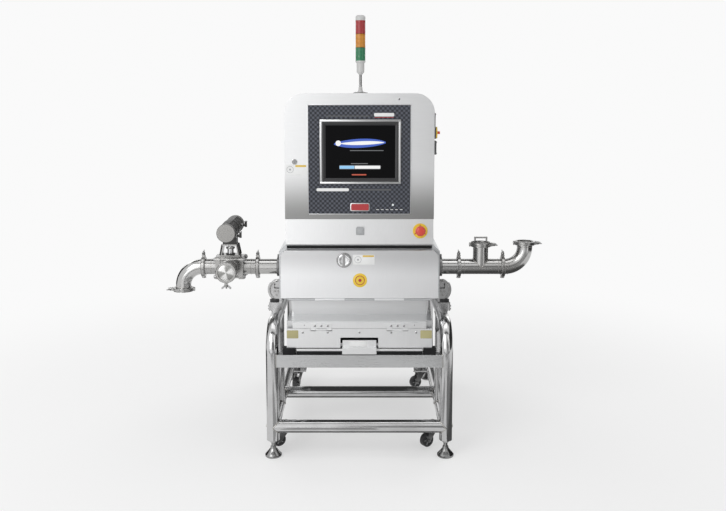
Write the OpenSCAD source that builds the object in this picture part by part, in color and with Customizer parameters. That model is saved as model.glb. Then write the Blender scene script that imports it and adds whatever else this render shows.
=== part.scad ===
// X-ray inspection machine for product pumped through a sanitary pipe.
// Units are millimetres, +Z is up, -Y is the front and +X is the operator's right.
// The origin is on the floor, under the middle of the whole machine.

/* [Tube frame] */
// Clear width between the base and the tube of each leg
leg_gap = 32.6; // [28:0.1:60]
// Distance between the front and the rear leg axes
frame_depth = 950; // [800:10:1200]
// Outside diameter of the frame tube
tube_d = 50.8; // [45:0.1:54]
// Wall of the frame tube
tube_wall = 2; // [1.5:0.1:3]
// Height of the top run's axis
hoop_z = 526; // [510:1:560]
// Bend radius of the hoops, on the tube's axis
hoop_bend = 100; // [80:1:140]
// Height of the open end of each leg
leg_end_z = 68; // [60:1:75]
// Height of the lower rails' axes
rail_z = 122; // [118:1:140]
// Distance from the front legs to the middle cross tube
mid_cross = 400; // [320:5:500]
// Distance from the front legs to the upright posts
post_back = 250; // [220:5:300]
// Height of the rectangular beams
beam_h = 50; // [40:1:55]
// Width of the rectangular beams, front to back
beam_w = 40; // [30:1:44]
// Underside of the rectangular beams
beam_z = 368.5; // [360:0.5:372]
// Wall of the rectangular beams
beam_wall = 3; // [2:0.5:5]

/* [Feet and casters] */
// Diameter of a levelling foot's pad
pad_d = 66; // [55:1:75]
// Diameter of a levelling foot's screw
screw_d = 16; // [12:1:20]
// Screw length above the end of the leg
screw_up = 60; // [45:1:75]
// Thickness of the lock nut under a leg
locknut_h = 10; // [6:1:12]
// Distance from the leg axes in to the caster pivots
caster_inset = 43; // [36:1:50]
// Distance from the front legs to the front caster pivots
caster_front = 95; // [90:1:130]
// Distance from the rear legs to the rear caster pivots
caster_back = 140; // [120:5:240]
// Caster wheel diameter
wheel_d = 55; // [50:1:58]
// Caster wheel width
wheel_w = 20; // [16:1:24]
// Offset of the wheel behind its pivot
caster_trail = 32; // [26:1:36]
// Clear height under the wheels while the machine stands on its feet
wheel_lift = 8; // [4:1:12]

/* [Base] */
// Half the width of the base
base_half_w = 285; // [270:1:300]
// Thickness of the rubber pads on the beams
pad_h = 26; // [22:1:30]
// Top of the base, where the shelf begins
base_top_z = 548; // [544:1:560]
// Sheet thickness of the base
base_wall = 3; // [2:0.5:4]
// Distance that the base's front lies behind the leg axes
base_setback = 12; // [6:1:16]
// Distance that the riser's sides lie inside the chamber's
riser_inset = 45; // [44:1:58]
// Distance that the riser's front lies behind the leg axes
riser_setback = 109; // [100:1:112]
// Radius of the riser's upright edges
riser_edge_r = 12; // [6:1:20]
// Height of the access flap
flap_h = 77; // [68:1:78]
// Thickness of the access flap
flap_t = 2; // [1.5:0.5:3]
// Height of the hinge strip above the flap
strip_h = 24; // [20:1:25]
// Distance that the hinge strip ends inside the base's sides
strip_inset = 23; // [12:1:45]
// Half the width of the notch for the tray's handle
notch_half_w = 74; // [70:1:90]
// Height of that notch
notch_h = 41; // [38:1:50]
// Distance that the drip tray ends inside the base's sides
tray_inset = 38; // [34:1:60]
// Height of the drip tray
tray_h = 10; // [8:1:11]
// Length of the drip tray
tray_len = 400; // [300:10:450]
// Half the width of the tray's handle
handle_half_w = 66; // [55:1:69]

/* [Chamber] */
// Half the width of the chamber
chamber_half_w = 324; // [310:1:340]
// Underside of the chamber
chamber_z = 613; // [608:1:618]
// Top of the chamber
chamber_top_z = 831; // [826:1:840]
// Distance from the leg axes back to the chamber's front
chamber_setback = 118; // [116:1:124]
// Depth of the chamber and the cabinet, front to back
body_depth = 610; // [580:5:640]
// Sheet thickness of the chamber
chamber_wall = 3; // [2:0.5:4]
// Width of the sloped shoulder along the chamber's top
shoulder = 25; // [15:1:30]
// Half the width of the front cover
cover_half_w = 317; // [300:1:320]
// Thickness of the front cover
cover_t = 20; // [16:1:21]
// Underside of the front cover
cover_z = 617.5; // [616:0.5:619]
// Top of the front cover
cover_top_z = 816; // [806:1:820]
// Depth of the bevel along the cover's top
bevel = 4; // [3:1:18]
// Size of the slope across the cover's two upper corners
cover_corner = 22; // [10:1:28]
// Diameter of the round cover latch
latch_d = 58; // [50:1:64]
// Distance of the latch from the centre plane
latch_x = -62; // [-120:1:120]
// Height of the latch
latch_z = 774; // [765:1:778]

/* [Cabinet] */
// Half the width of the cabinet
cab_half_w = 299; // [298:1:312]
// Underside of the wide part of the cabinet
cab_z = 935.5; // [925:0.5:945]
// Top of the cabinet
cab_top_z = 1438; // [1425:1:1500]
// Distance from the leg axes back to the cabinet's front
cab_setback = 130; // [128:1:136]
// Radius of the cabinet's upper corners
cab_r = 78; // [60:1:90]
// Sheet thickness of the cabinet
cab_wall = 3; // [2:0.5:4]
// Half the width of the neck under the cabinet
neck_half_w = 297; // [285:1:297]
// Thickness of the control band at its top edge
band_t = 3; // [2:1:6]
// Distance that the control band leans out at its lower edge
band_lean = 10; // [4:1:12]
// Half the width of the operator panel's overlay
hmi_half_w = 204; // [195:1:215]
// Underside of the overlay
hmi_z = 957; // [950:1:965]
// Top of the overlay
hmi_top_z = 1391; // [1380:1:1400]
// Thickness of the overlay
hmi_t = 1.5; // [1:0.5:3]
// Width of the screen glass
screen_w = 291; // [260:1:310]
// Height of the screen glass
screen_h = 224; // [200:1:235]
// Height of the screen's centre
screen_z = 1206; // [1190:1:1215]
// Distance of the screen's centre from the centre plane
screen_x = 4; // [-10:1:10]
// Width of the screen's metal bezel
bezel_w = 16; // [12:1:20]
// Depth of the bezel in front of the overlay
bezel_t = 5; // [3:1:8]

/* [Controls] */
// Distance of the emergency stop from the centre plane
estop_x = 244; // [200:1:255]
// Height of the emergency stop
estop_z = 888; // [880:1:895]
// Diameter of the emergency stop's base ring
estop_ring_d = 60; // [50:1:66]
// Diameter of the emergency stop's mushroom head
estop_d = 40; // [34:1:46]
// Travel of the emergency stop
estop_travel = 5; // [3:0.5:6]
// Distance of the service port's cap from the centre plane
port_x = 3; // [-20:1:20]
// Side of the square service port cap
port_cap_w = 27; // [22:1:34]
// Distance of the key lock from the centre plane
key_x = -259; // [-280:1:-230]
// Height of the key lock
key_z = 1166; // [1100:1:1250]
// Diameter of the cabinet's key lock
key_d = 18; // [16:1:22]
// Height of the main switch's centre
switch_z = 1280; // [1240:1:1320]
// Diameter of the main switch's knob
switch_d = 36; // [30:1:42]
// Diameter of the signal tower's lenses
lamp_d = 41; // [36:1:50]
// Height of one lens
lamp_h = 54; // [45:1:60]
// Length of the signal tower's pole
lamp_pole_h = 74; // [40:1:90]
// Height of the signal tower's white base
lamp_base_h = 52; // [40:1:70]

/* [Pipe line] */
// Outside diameter of the product pipe
pipe_d = 63.5; // [60:0.1:66]
// Wall of the product pipe
pipe_wall = 1.65; // [1.2:0.05:2]
// Height of the pipe's axis
pipe_z = 718; // [716:1:722]
// Distance from the leg axes back to the pipe's axis
pipe_back = 250; // [245:1:262]
// Diameter of the ferrules
ferrule_d = 75; // [74:0.5:77]
// Thickness of one ferrule flange
ferrule_t = 3; // [2:0.2:3.4]
// Thickness of a gasket between two ferrules
gasket_t = 1.5; // [1:0.1:2]
// Outside diameter of a clamp ring
clamp_d = 84; // [81:0.5:88]
// Width of a clamp ring
clamp_w = 15; // [13:0.5:17]
// Bend radius of both elbows, on the pipe's axis
elbow_r = 81; // [70:1:95]
// Distance of the inlet elbow's joint from the centre plane
inlet_x = 652; // [640:1:680]
// Distance of the valve's axis from the centre plane
valve_x = 539; // [535:1:545]
// Distance of the valve's outlet joint from the centre plane
valve_out_x = 425.5; // [415:0.5:430]
// Width of the valve's body between its flanges
valve_w = 76; // [72:1:80]
// Thickness of each valve flange
valve_flange_t = 19; // [14:1:22]
// Side of the square valve flanges
valve_flange_w = 94; // [90:1:100]
// Diameter of the valve's ball
ball_d = 70; // [68:1:72]
// Height of the actuator's axis
actuator_z = 876.5; // [870:0.5:890]
// Diameter of the actuator
actuator_d = 75; // [66:1:80]
// Length of the actuator
actuator_len = 274; // [230:1:300]
// Distance of the tee's first joint from the centre plane
tee_in_x = 414.5; // [405:0.5:425]
// Distance of the tee's branch from the centre plane
tee_x = 505.5; // [495:0.5:515]
// Distance of the tee's second joint from the centre plane
tee_out_x = 598; // [590:1:610]
// Height of the joint on the tee's branch
tee_top_z = 811; // [805:1:820]
// Height of the outlet elbow's upward joint
outlet_z = 818; // [812:1:830]

/* [Hidden] */
$fn = 48;
// The middle of the machine's box lies beside the cabinet's centre plane, because of the pipes
centre_x = 26;
fit = 0.05;
gap = 0.3;
front_y = -frame_depth / 2;
rear_y = frame_depth / 2;
mid_y = front_y + mid_cross;
post_y = front_y + post_back;
tube_r = tube_d / 2;
leg_x = base_half_w + leg_gap + tube_r;
tube_in_r = tube_r - tube_wall;
plug_h = 40;
beam_top_z = beam_z + beam_h;
pad_top_z = beam_top_z + pad_h;
rail_under_z = rail_z - tube_r;
caster_plate_t = 5;
caster_x = leg_x - caster_inset;
caster_y = [front_y + caster_front, rear_y - caster_back];
fork_top_z = rail_under_z + 1 - caster_plate_t;
axle_z = wheel_lift + wheel_d / 2;
axle_r = 4;
kingpin_r = 6;
// Turn of each caster about its pivot: front left, front right, rear left, rear right
caster_turns = [200, 215, 250, 205];
base_front_y = front_y + base_setback;
base_rear_y = rear_y - base_setback;
riser_y = front_y + riser_setback;
riser_half_w = chamber_half_w - riser_inset;
riser_top_z = chamber_z - 2;
flap_y = front_y - 9;
flap_z = pad_top_z + gap;
flap_top_z = flap_z + flap_h;
strip_z = flap_top_z + 1;
strip_top_z = strip_z + strip_h;
strip_half_w = base_half_w - strip_inset;
flap_pin_y = flap_y + 1.5;
flap_pin_z = flap_top_z - 4;
pin_r = 2;
knuckle_r = 4;
tray_half_w = base_half_w - tray_inset;
handle_back_y = flap_y - 4;
tray_z = pad_top_z - 3.5 - tray_h;
seal_h = tray_z - beam_top_z - gap;
chamber_y = front_y + chamber_setback;
body_rear_y = chamber_y + body_depth;
floor_z = chamber_z + chamber_wall;
roof_z = chamber_top_z - chamber_wall;
window_half_w = chamber_half_w - 34;
window_z = chamber_z + 30;
window_top_z = roof_z - 32;
cover_back_y = chamber_y - 2;
cover_y = cover_back_y - cover_t;
cover_wall = 2;
cover_pin_y = cover_y + 6;
cover_pin_z = chamber_z - 1;
latch_r = latch_d / 2;
cam_back = chamber_y + chamber_wall - cover_y + 0.5;
cab_y = front_y + cab_setback;
neck_z = chamber_top_z;
band_z = neck_z + 2;
band_top_z = cab_z - 0.5;
band_y = cab_y;
hmi_y = cab_y - hmi_t;
door_t = 20;
door_half_w = cab_half_w - 17;
door_z = cab_z + 24;
door_top_z = cab_top_z - 28;
door_y = body_rear_y + 1;
door_latch_x = door_half_w - 40;
door_latch_z = door_z + 225.5;
door_pin_x = -(door_half_w + 6);
door_pin_y = door_y + 5;
door_cam_back = door_y + door_t - body_rear_y + cab_wall + 0.5;
lamp_y = front_y + 230;
pipe_y = front_y + pipe_back;
pipe_r = pipe_d / 2;
pipe_in_r = pipe_r - pipe_wall;
ferrule_r = ferrule_d / 2;
joint_half = gasket_t / 2;
clamp_r = clamp_d / 2;
clamp_bore_r = ferrule_r + 0.15;
elbow_x = inlet_x + 6 + elbow_r;
inlet_end_z = pipe_z - elbow_r - 15;
outlet_x = tee_out_x + 10 + elbow_r;
port_len = 127;
port_y = pipe_y - port_len;
stem_r = 9;
yoke_z = pipe_z + valve_flange_w / 2;
yoke_top_z = actuator_z - actuator_d / 2 - 23;
// Joints of the pipe line: x, y, z and the way that its axis and its wing nut point
JOINTS = [
    [-inlet_x, pipe_y, pipe_z, "x"],
    [-valve_out_x, pipe_y, pipe_z, "x"],
    [tee_in_x, pipe_y, pipe_z, "x"],
    [tee_out_x, pipe_y, pipe_z, "x"],
    [-elbow_x, pipe_y, inlet_end_z, "left"],
    [tee_x, pipe_y, tee_top_z, "right"],
    [outlet_x, pipe_y, outlet_z, "right"],
    [-valve_x, port_y, pipe_z, "front"]
];

// Shared shapes
module place() translate([centre_x, 0, 0]) children();
module steel() color([0.72, 0.73, 0.74]) children();
module dark() color([0.16, 0.16, 0.17]) children();
module rod_x(x0, x1, r, y, z) translate([x0, y, z]) rotate([0, 90, 0]) cylinder(r = r, h = x1 - x0);
module rod_y(y0, y1, r, x, z) translate([x, y1, z]) rotate([90, 0, 0]) cylinder(r = r, h = y1 - y0);
module rod_z(z0, z1, r, x, y) translate([x, y, z0]) cylinder(r = r, h = z1 - z0);
module block(x, y, z) translate([x[0], y[0], z[0]]) cube([x[1] - x[0], y[1] - y[0], z[1] - z[0]]);

// Rectangle with round corners in plan, spanning two corner points
module round_rect(a, b, r) {
    translate([a[0] + r, a[1]]) square([b[0] - a[0] - 2 * r, b[1] - a[1]]);
    translate([a[0], a[1] + r]) square([b[0] - a[0], b[1] - a[1] - 2 * r]);
    for (x = [a[0] + r, b[0] - r], y = [a[1] + r, b[1] - r]) translate([x, y]) circle(r = r);
}
// A flat outline in X and Z, given depth from y0 to y1
module slab_y(y0, y1) translate([0, y1, 0]) rotate([90, 0, 0]) linear_extrude(y1 - y0) children();
// A flat outline in Y and Z, given width from x0 to x1
module slab_x(x0, x1) translate([x0, 0, 0]) rotate([90, 0, 90]) linear_extrude(x1 - x0) children();

// Inverted U of one side frame, drawn at the centre plane: legs down to foot_z, run at hoop_z
module hoop_solid(r, foot_z) {
    bend_z = hoop_z - hoop_bend;
    for (y = [front_y, rear_y]) rod_z(foot_z, bend_z, r, 0, y);
    rod_y(front_y + hoop_bend, rear_y - hoop_bend, r, 0, hoop_z);
    translate([0, front_y + hoop_bend, bend_z]) rotate([90, 0, 90]) rotate([0, 0, 90])
        rotate_extrude(angle = 90) translate([hoop_bend, 0]) circle(r = r);
    translate([0, rear_y - hoop_bend, bend_z]) rotate([90, 0, 90])
        rotate_extrude(angle = 90) translate([hoop_bend, 0]) circle(r = r);
}
module hoop(side) steel() place() translate([side * leg_x, 0, 0]) difference() {
    hoop_solid(tube_r, leg_end_z);
    hoop_solid(tube_in_r, leg_end_z + plug_h);
    for (y = [front_y, rear_y]) rod_z(leg_end_z - 1, leg_end_z + plug_h + 1, screw_d / 2 + fit, 0, y);
}
module hoop_left() hoop(-1);
module hoop_right() hoop(1);

// Lower rail with its upright post and the two plates that the casters bolt to
module rail_tubes(r) {
    rod_y(front_y, rear_y, r, 0, rail_z);
    rod_z(rail_z, hoop_z, r, 0, post_y);
}
module side_rail(side) steel() place() {
    translate([side * leg_x, 0, 0]) difference() {
        union() {
            rail_tubes(tube_r);
            for (y = caster_y) block([min(-side * 80, side * 12), max(-side * 80, side * 12)],
                [y - 40, y + 40], [fork_top_z, fork_top_z + caster_plate_t]);
        }
        difference() {
            rail_tubes(tube_in_r);
            for (y = [front_y, rear_y]) rod_z(0, hoop_z, tube_r + fit + 0.5, 0, y);
        }
        for (y = [front_y, rear_y]) rod_z(0, hoop_z, tube_r + fit, 0, y);
        rod_y(front_y, rear_y, tube_r + fit, 0, hoop_z);
        for (y = caster_y) rod_z(fork_top_z - 1, rail_z - tube_r + 8, kingpin_r + fit,
            side * (caster_x - leg_x), y);
    }
}
module side_rail_left() side_rail(-1);
module side_rail_right() side_rail(1);

module cross_tubes() steel() place() for (y = [front_y, mid_y, rear_y]) difference() {
    rod_x(-leg_x, leg_x, tube_r, y, rail_z);
    for (side = [-1, 1]) {
        if (y != mid_y) rod_z(0, hoop_z, tube_r + fit, side * leg_x, y);
        rod_y(front_y, rear_y, tube_r + 2 * fit, side * leg_x, rail_z);
    }
    rod_x(-leg_x + tube_r, leg_x - tube_r, tube_in_r, y, rail_z);
}
module top_beams() steel() place() for (y = [front_y, rear_y]) difference() {
    block([-leg_x, leg_x], [y - beam_w / 2, y + beam_w / 2], [beam_z, beam_top_z]);
    block([-leg_x, leg_x], [y - beam_w / 2 + beam_wall, y + beam_w / 2 - beam_wall],
        [beam_z + beam_wall, beam_top_z - beam_wall]);
    for (side = [-1, 1]) rod_z(0, hoop_z, tube_r + fit, side * leg_x, y);
}

// Levelling foot: a bell shaped pad and its screw, one piece here
module foot(side, y) steel() place() translate([side * leg_x, y, 0]) rotate_extrude() union() {
    square([screw_d / 2, leg_end_z + screw_up]);
    polygon([[0, 0], [pad_d / 2 - 2, 0], [pad_d / 2, 3], [pad_d / 2, 9], [pad_d / 2 - 5, 15],
        [pad_d / 2 - 13, 24], [screw_d / 2 + 5, 33], [screw_d / 2 + 3, 42], [0, 42]]);
}
module foot_front_left() foot(-1, front_y);
module foot_front_right() foot(1, front_y);
module foot_rear_left() foot(-1, rear_y);
module foot_rear_right() foot(1, rear_y);
module foot_lock_nuts() steel() place() for (side = [-1, 1], y = [front_y, rear_y])
    translate([side * leg_x, y, leg_end_z - locknut_h]) difference() {
        cylinder(d = 27, h = locknut_h, $fn = 6);
        translate([0, 0, -1]) cylinder(r = screw_d / 2 + fit, h = locknut_h + 2);
    }

// Casters
module at_caster(side, row) translate([side * caster_x, caster_y[row], 0])
    rotate([0, 0, caster_turns[row * 2 + (side + 1) / 2]]) children();
module caster_fork(side, row) steel() place() at_caster(side, row) {
    arm = wheel_w / 2 + 1.5;
    top = fork_top_z - gap;
    rod_z(top - 6, top, 22, 0, 0);
    rod_z(top - 10, fork_top_z + caster_plate_t + 3, kingpin_r, 0, 0);
    block([-20, caster_trail + 4], [-arm - 3, arm + 3], [top - 10, top - 6]);
    for (turn = [-1, 1]) translate([0, turn * (arm + 1.5), 0]) hull() {
        block([-18, 18], [-1.5, 1.5], [top - 10, top - 6]);
        rod_y(-1.5, 1.5, 10, caster_trail, axle_z);
    }
    rod_y(-arm - 4, arm + 4, axle_r, caster_trail, axle_z);
}
module caster_wheel(side, row) dark() place() at_caster(side, row)
    translate([caster_trail, 0, axle_z]) rotate([90, 0, 0]) rotate_extrude(convexity = 4)
        difference() {
            translate([0, -wheel_w / 2]) square([wheel_d / 2, wheel_w]);
            translate([-1, -wheel_w / 2 - 1]) square([axle_r + fit + 1, wheel_w + 2]);
            for (turn = [-1, 1]) translate([10, turn * wheel_w / 2 - 2]) square([9, 4]);
        }
module caster_fork_front_left() caster_fork(-1, 0);
module caster_fork_front_right() caster_fork(1, 0);
module caster_fork_rear_left() caster_fork(-1, 1);
module caster_fork_rear_right() caster_fork(1, 1);
module caster_wheel_front_left() caster_wheel(-1, 0);
module caster_wheel_front_right() caster_wheel(1, 0);
module caster_wheel_rear_left() caster_wheel(-1, 1);
module caster_wheel_rear_right() caster_wheel(1, 1);

// Base
pad_x = [tray_half_w + 5, base_half_w + 15];
module beam_pads() dark() place() {
    for (side = [-1, 1], y = [front_y, rear_y])
        block([min(side * pad_x[0], side * pad_x[1]), max(side * pad_x[0], side * pad_x[1])],
            [y - beam_w / 2 + 2, y + beam_w / 2], [beam_top_z, pad_top_z]);
    block([-tray_half_w, tray_half_w], [handle_back_y + gap, front_y + beam_w / 2],
        [beam_top_z, beam_top_z + seal_h]);
}
module base_outline(inset) block([-base_half_w + inset, base_half_w - inset],
    [base_front_y + inset, base_rear_y - inset], [pad_top_z + inset, base_top_z - inset]);
module riser_plan(inset) round_rect([-riser_half_w + inset, riser_y + inset],
    [riser_half_w - inset, body_rear_y - inset], riser_edge_r);
module base_box() steel() place() difference() {
    union() {
        base_outline(0);
        translate([0, 0, base_top_z - 1]) linear_extrude(riser_top_z - base_top_z + 1) riser_plan(0);
        // Runners that the drip tray hangs in
        for (side = [-1, 1]) difference() {
            block([min(side * (tray_half_w - 8), side * (tray_half_w + 4)),
                max(side * (tray_half_w - 8), side * (tray_half_w + 4))],
                [front_y + beam_w / 2 + 4, front_y + tray_len], [tray_z - 2.5, pad_top_z + 1]);
            block([-tray_half_w - gap, tray_half_w + gap], [front_y, front_y + tray_len + 1],
                [tray_z - gap, pad_top_z - 1]);
        }
    }
    base_outline(base_wall);
    translate([0, 0, base_top_z - base_wall - 1])
        linear_extrude(riser_top_z - base_top_z + 1) riser_plan(base_wall);
    // Opening behind the flap
    block([-base_half_w + 25, base_half_w - 25], [base_front_y - 1, base_front_y + base_wall + 1],
        [pad_top_z + 14, flap_top_z - 16]);
    // Way down from the chamber for the detector's cable
    rod_z(riser_top_z - base_wall - 1, riser_top_z + 1, 20, 120, pipe_y);
    // Cable gland at the rear
    rod_y(base_rear_y - base_wall - 1, base_rear_y + 1, 10.05, -180, pad_top_z + 50);
}
module drip_tray() steel() place() {
    difference() {
        block([-tray_half_w, tray_half_w], [flap_y, flap_y + tray_len], [tray_z, tray_z + tray_h]);
        block([-tray_half_w + 2, tray_half_w - 2], [flap_y + 2, flap_y + tray_len - 2],
            [tray_z + 1.5, tray_z + tray_h + 1]);
    }
    block([-handle_half_w, handle_half_w], [flap_y - 24, flap_y - 22], [tray_z - 5, tray_z + 20]);
    block([-handle_half_w, handle_half_w], [flap_y - 24, handle_back_y], [tray_z + 18, tray_z + 20]);
    block([-handle_half_w, handle_half_w], [flap_y - 6, handle_back_y], [tray_z, tray_z + 46]);
    block([-handle_half_w, handle_half_w], [flap_y - 6, flap_y + 1], [tray_z + 1, tray_z + tray_h]);
    for (side = [-1, 1]) block([side * handle_half_w - 1, side * handle_half_w + 1],
        [flap_y - 24, handle_back_y], [tray_z - 5, tray_z + 20]);
}
// Where the hinge knuckles of the flap and of its strip lie along X
function spans(ends, side) = [for (e = ends) side > 0 ? e : [-e[1], -e[0]]];
leaf_span = [108, 190];
flap_fixed_spans = [[108, 128], [170, 190]];
flap_moving_span = [128.5, 169.5];
flap_screw_x = base_half_w - 63;
module access_flap() steel() place() difference() {
    union() {
        difference() {
            block([-base_half_w, base_half_w], [flap_y, flap_y + flap_t], [flap_z, flap_top_z]);
            block([-notch_half_w, notch_half_w], [flap_y - 1, flap_y + flap_t + 1],
                [flap_z - 1, flap_z + notch_h]);
            for (side = [-1, 1]) block([min(side * 107.5, side * 190.5), max(side * 107.5, side * 190.5)],
                [flap_y - 1, flap_y + flap_t + 1], [flap_pin_z - 6, flap_top_z + 1]);
        }
        for (side = [-1, 1]) {
            x = min(side * flap_moving_span[0], side * flap_moving_span[1]);
            rod_x(x, x + flap_moving_span[1] - flap_moving_span[0], knuckle_r, flap_pin_y, flap_pin_z);
            block([x, x + flap_moving_span[1] - flap_moving_span[0]], [flap_y, flap_y + flap_t],
                [flap_pin_z - 8, flap_pin_z - 3]);
        }
        for (x = [-flap_screw_x, -124, 0, 124, flap_screw_x])
            rod_y(flap_y - 2.5, flap_y + 0.5, 4, x, flap_top_z - 15);
    }
    for (side = [-1, 1]) rod_x(min(side * leaf_span[0], side * leaf_span[1]),
        max(side * leaf_span[0], side * leaf_span[1]), pin_r + fit, flap_pin_y, flap_pin_z);
}
module flap_hinge() steel() place() {
    // Strip fixed to the base above the flap, with a spacer behind it
    block([-strip_half_w, strip_half_w], [flap_y, flap_y + 2], [strip_z, strip_top_z]);
    block([-strip_half_w, strip_half_w], [flap_y + 2, base_front_y], [strip_z + 8, strip_top_z]);
    for (side = [-1, 1]) {
        for (s = flap_fixed_spans) {
            x = min(side * s[0], side * s[1]);
            rod_x(x, x + s[1] - s[0], knuckle_r, flap_pin_y, flap_pin_z);
            block([x, x + s[1] - s[0]], [flap_y - 2, flap_y], [flap_pin_z + 2, strip_z + 2]);
        }
        x = min(side * leaf_span[0], side * leaf_span[1]);
        rod_x(x, x + leaf_span[1] - leaf_span[0], pin_r, flap_pin_y, flap_pin_z);
        block([x, x + leaf_span[1] - leaf_span[0]], [flap_y - 2, flap_y], [strip_z, strip_top_z - 2]);
        for (i = [-1, 0, 1]) rod_y(flap_y - 4, flap_y - 2, 4.5,
            x + (leaf_span[1] - leaf_span[0]) / 2 + i * 25, strip_z + 11);
    }
}

// Chamber
module chamber_outline(inset) polygon([
    [-chamber_half_w + inset, chamber_z + inset], [chamber_half_w - inset, chamber_z + inset],
    [chamber_half_w - inset, chamber_top_z - shoulder - inset * 0.4],
    [chamber_half_w - shoulder - inset * 0.4, chamber_top_z - inset],
    [-chamber_half_w + shoulder + inset * 0.4, chamber_top_z - inset],
    [-chamber_half_w + inset, chamber_top_z - shoulder - inset * 0.4]]);
module chamber_shell() steel() place() difference() {
    union() {
        slab_y(chamber_y, body_rear_y) chamber_outline(0);
        for (side = [-1, 1]) rod_x(min(side * chamber_half_w - side, side * (chamber_half_w + 8)),
            max(side * chamber_half_w - side, side * (chamber_half_w + 8)), 42, pipe_y, pipe_z);
    }
    slab_y(chamber_y + chamber_wall, body_rear_y - chamber_wall) chamber_outline(chamber_wall);
    block([-window_half_w, window_half_w], [chamber_y - 1, chamber_y + chamber_wall + 1],
        [window_z, window_top_z]);
    rod_x(-chamber_half_w - 20, chamber_half_w + 20, pipe_r + fit, pipe_y, pipe_z);
    // Way in for the beam, and the hole under the detector
    block([-60, 60], [pipe_y - 100, pipe_y + 100], [roof_z - 1, chamber_top_z + 1]);
    rod_z(chamber_z - 1, floor_z + 1, 20, 120, pipe_y);
}
module cover_outline(inset) polygon([
    [cover_y + inset, cover_z + inset], [cover_back_y + 1, cover_z + inset],
    [cover_back_y + 1, cover_top_z - inset], [cover_back_y - 4, cover_top_z - inset],
    [cover_y + inset, cover_top_z - bevel - inset * 0.4]]);
// Face of the cover, with its two sloped upper corners
module cover_face(inset) polygon([
    [-cover_half_w + inset, cover_z - 1], [cover_half_w - inset, cover_z - 1],
    [cover_half_w - inset, cover_top_z - cover_corner - inset * 0.4],
    [cover_half_w - cover_corner - inset * 0.4 - 1, cover_top_z + 1 - inset],
    [-cover_half_w + cover_corner + inset * 0.4 + 1, cover_top_z + 1 - inset],
    [-cover_half_w + inset, cover_top_z - cover_corner - inset * 0.4]]);
module cover_body(inset) intersection() {
    slab_x(-cover_half_w - 1, cover_half_w + 1) cover_outline(inset);
    slab_y(cover_y - 1, cover_back_y + 2) cover_face(inset);
}
cover_end = cover_half_w - 27;
cover_leaf = 110;
cover_fixed_spans = [[-cover_end, cover_leaf - cover_end], [-60, 60], [cover_end - cover_leaf, cover_end]];
cover_moving_spans = [[cover_leaf - cover_end + 0.5, -60.5], [60.5, cover_end - cover_leaf - 0.5]];
module front_cover() steel() place() difference() {
    union() {
        difference() {
            cover_body(0);
            cover_body(cover_wall);
            block([-cover_half_w - 1, cover_half_w + 1], [cover_back_y, cover_back_y + 2],
                [cover_z - 1, cover_top_z + 1]);
        }
        // Inner lining of the cover
        block([-cover_half_w + 20, cover_half_w - 20], [cover_y + 1, cover_y + 9],
            [cover_z + 10, window_top_z - 12]);
        for (s = cover_moving_spans) {
            rod_x(s[0], s[1], knuckle_r, cover_pin_y, cover_pin_z);
            block(s, [cover_pin_y - 1, cover_pin_y + 1], [cover_pin_z + 3, cover_z + 1]);
        }
    }
    rod_x(-cover_half_w, cover_half_w, pin_r + fit, cover_pin_y, cover_pin_z);
    rod_y(cover_y - 1, cover_y + 30, 8 + fit, latch_x, latch_z);
}
module cover_hinge() steel() place() {
    for (s = cover_fixed_spans) {
        rod_x(s[0], s[1], knuckle_r, cover_pin_y, cover_pin_z);
        block(s, [cover_pin_y, riser_y + 30], [riser_top_z, chamber_z]);
    }
    rod_x(cover_fixed_spans[0][0], cover_fixed_spans[2][1], pin_r, cover_pin_y, cover_pin_z);
}
module cover_latch() color([0.82, 0.83, 0.85]) place() translate([latch_x, cover_y, latch_z])
    rotate([90, 0, 0]) {
        difference() {
            translate([0, 0, gap]) cylinder(r = latch_r, h = 8);
            translate([0, 0, 4]) cylinder(r = latch_r - 4, h = 8);
        }
        block([-5, 5], [-latch_r + 3, latch_r - 3], [3, 10]);
        // Shaft through the cover and the cam that turns up behind the chamber's lip
        translate([0, 0, -cam_back - 5]) cylinder(r = 8, h = cam_back + 9);
        block([-10, 31], [-10, 10], [-cam_back - 5, -cam_back]);
    }
module side_bracket() {
    y = [pipe_y - 43, pipe_y - 35];
    z = hoop_z + tube_r + 20;
    difference() {
        union() {
            slab_y(y[0], y[1]) intersection() {
                translate([chamber_half_w + 4, 627]) circle(r = 45);
                translate([chamber_half_w, z]) square([60, 120]);
            }
            slab_y(y[1] - 1, y[1] + 30) intersection() {
                difference() {
                    translate([chamber_half_w + 4, 627]) circle(r = 54);
                    translate([chamber_half_w + 4, 627]) circle(r = 49);
                }
                translate([chamber_half_w + 20, z - 15]) square([60, 95]);
            }
            slab_y(y[1] - 1, y[1] + 4) intersection() {
                translate([chamber_half_w + 4, 627]) circle(r = 50);
                translate([chamber_half_w, z]) square([60, 100]);
            }
            block([chamber_half_w, leg_x + tube_r], [y[0] - 4, y[0] + 44], [hoop_z + 12, z + 1]);
            block([leg_x + tube_r + 2, leg_x + tube_r + 8], [y[0] - 4, y[0] + 10], [hoop_z + 14, z + 2]);
            block([leg_x - 5, leg_x + tube_r + 8], [y[0] - 4, y[0] + 10], [z - 3, z + 3]);
            block([chamber_half_w, chamber_half_w + 24], [y[0] - 12, y[0] + 1], [640, 665]);
        }
        rod_y(y[0] - 20, y[0] + 80, tube_r + fit, leg_x, hoop_z);
        rod_x(chamber_half_w - 1, chamber_half_w + 8 + gap, 42 + gap, pipe_y, pipe_z);
    }
}
module side_bracket_left() steel() place() mirror([1, 0, 0]) side_bracket();
module side_bracket_right() steel() place() side_bracket();
module line_detector() color([0.35, 0.37, 0.4]) place() {
    block([-45, 45], [pipe_y - 118, pipe_y + 118], [floor_z, pipe_z - pipe_r - 16]);
    block([-8, 8], [pipe_y - 110, pipe_y + 110], [pipe_z - pipe_r - 17, pipe_z - pipe_r - 12]);
}

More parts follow.
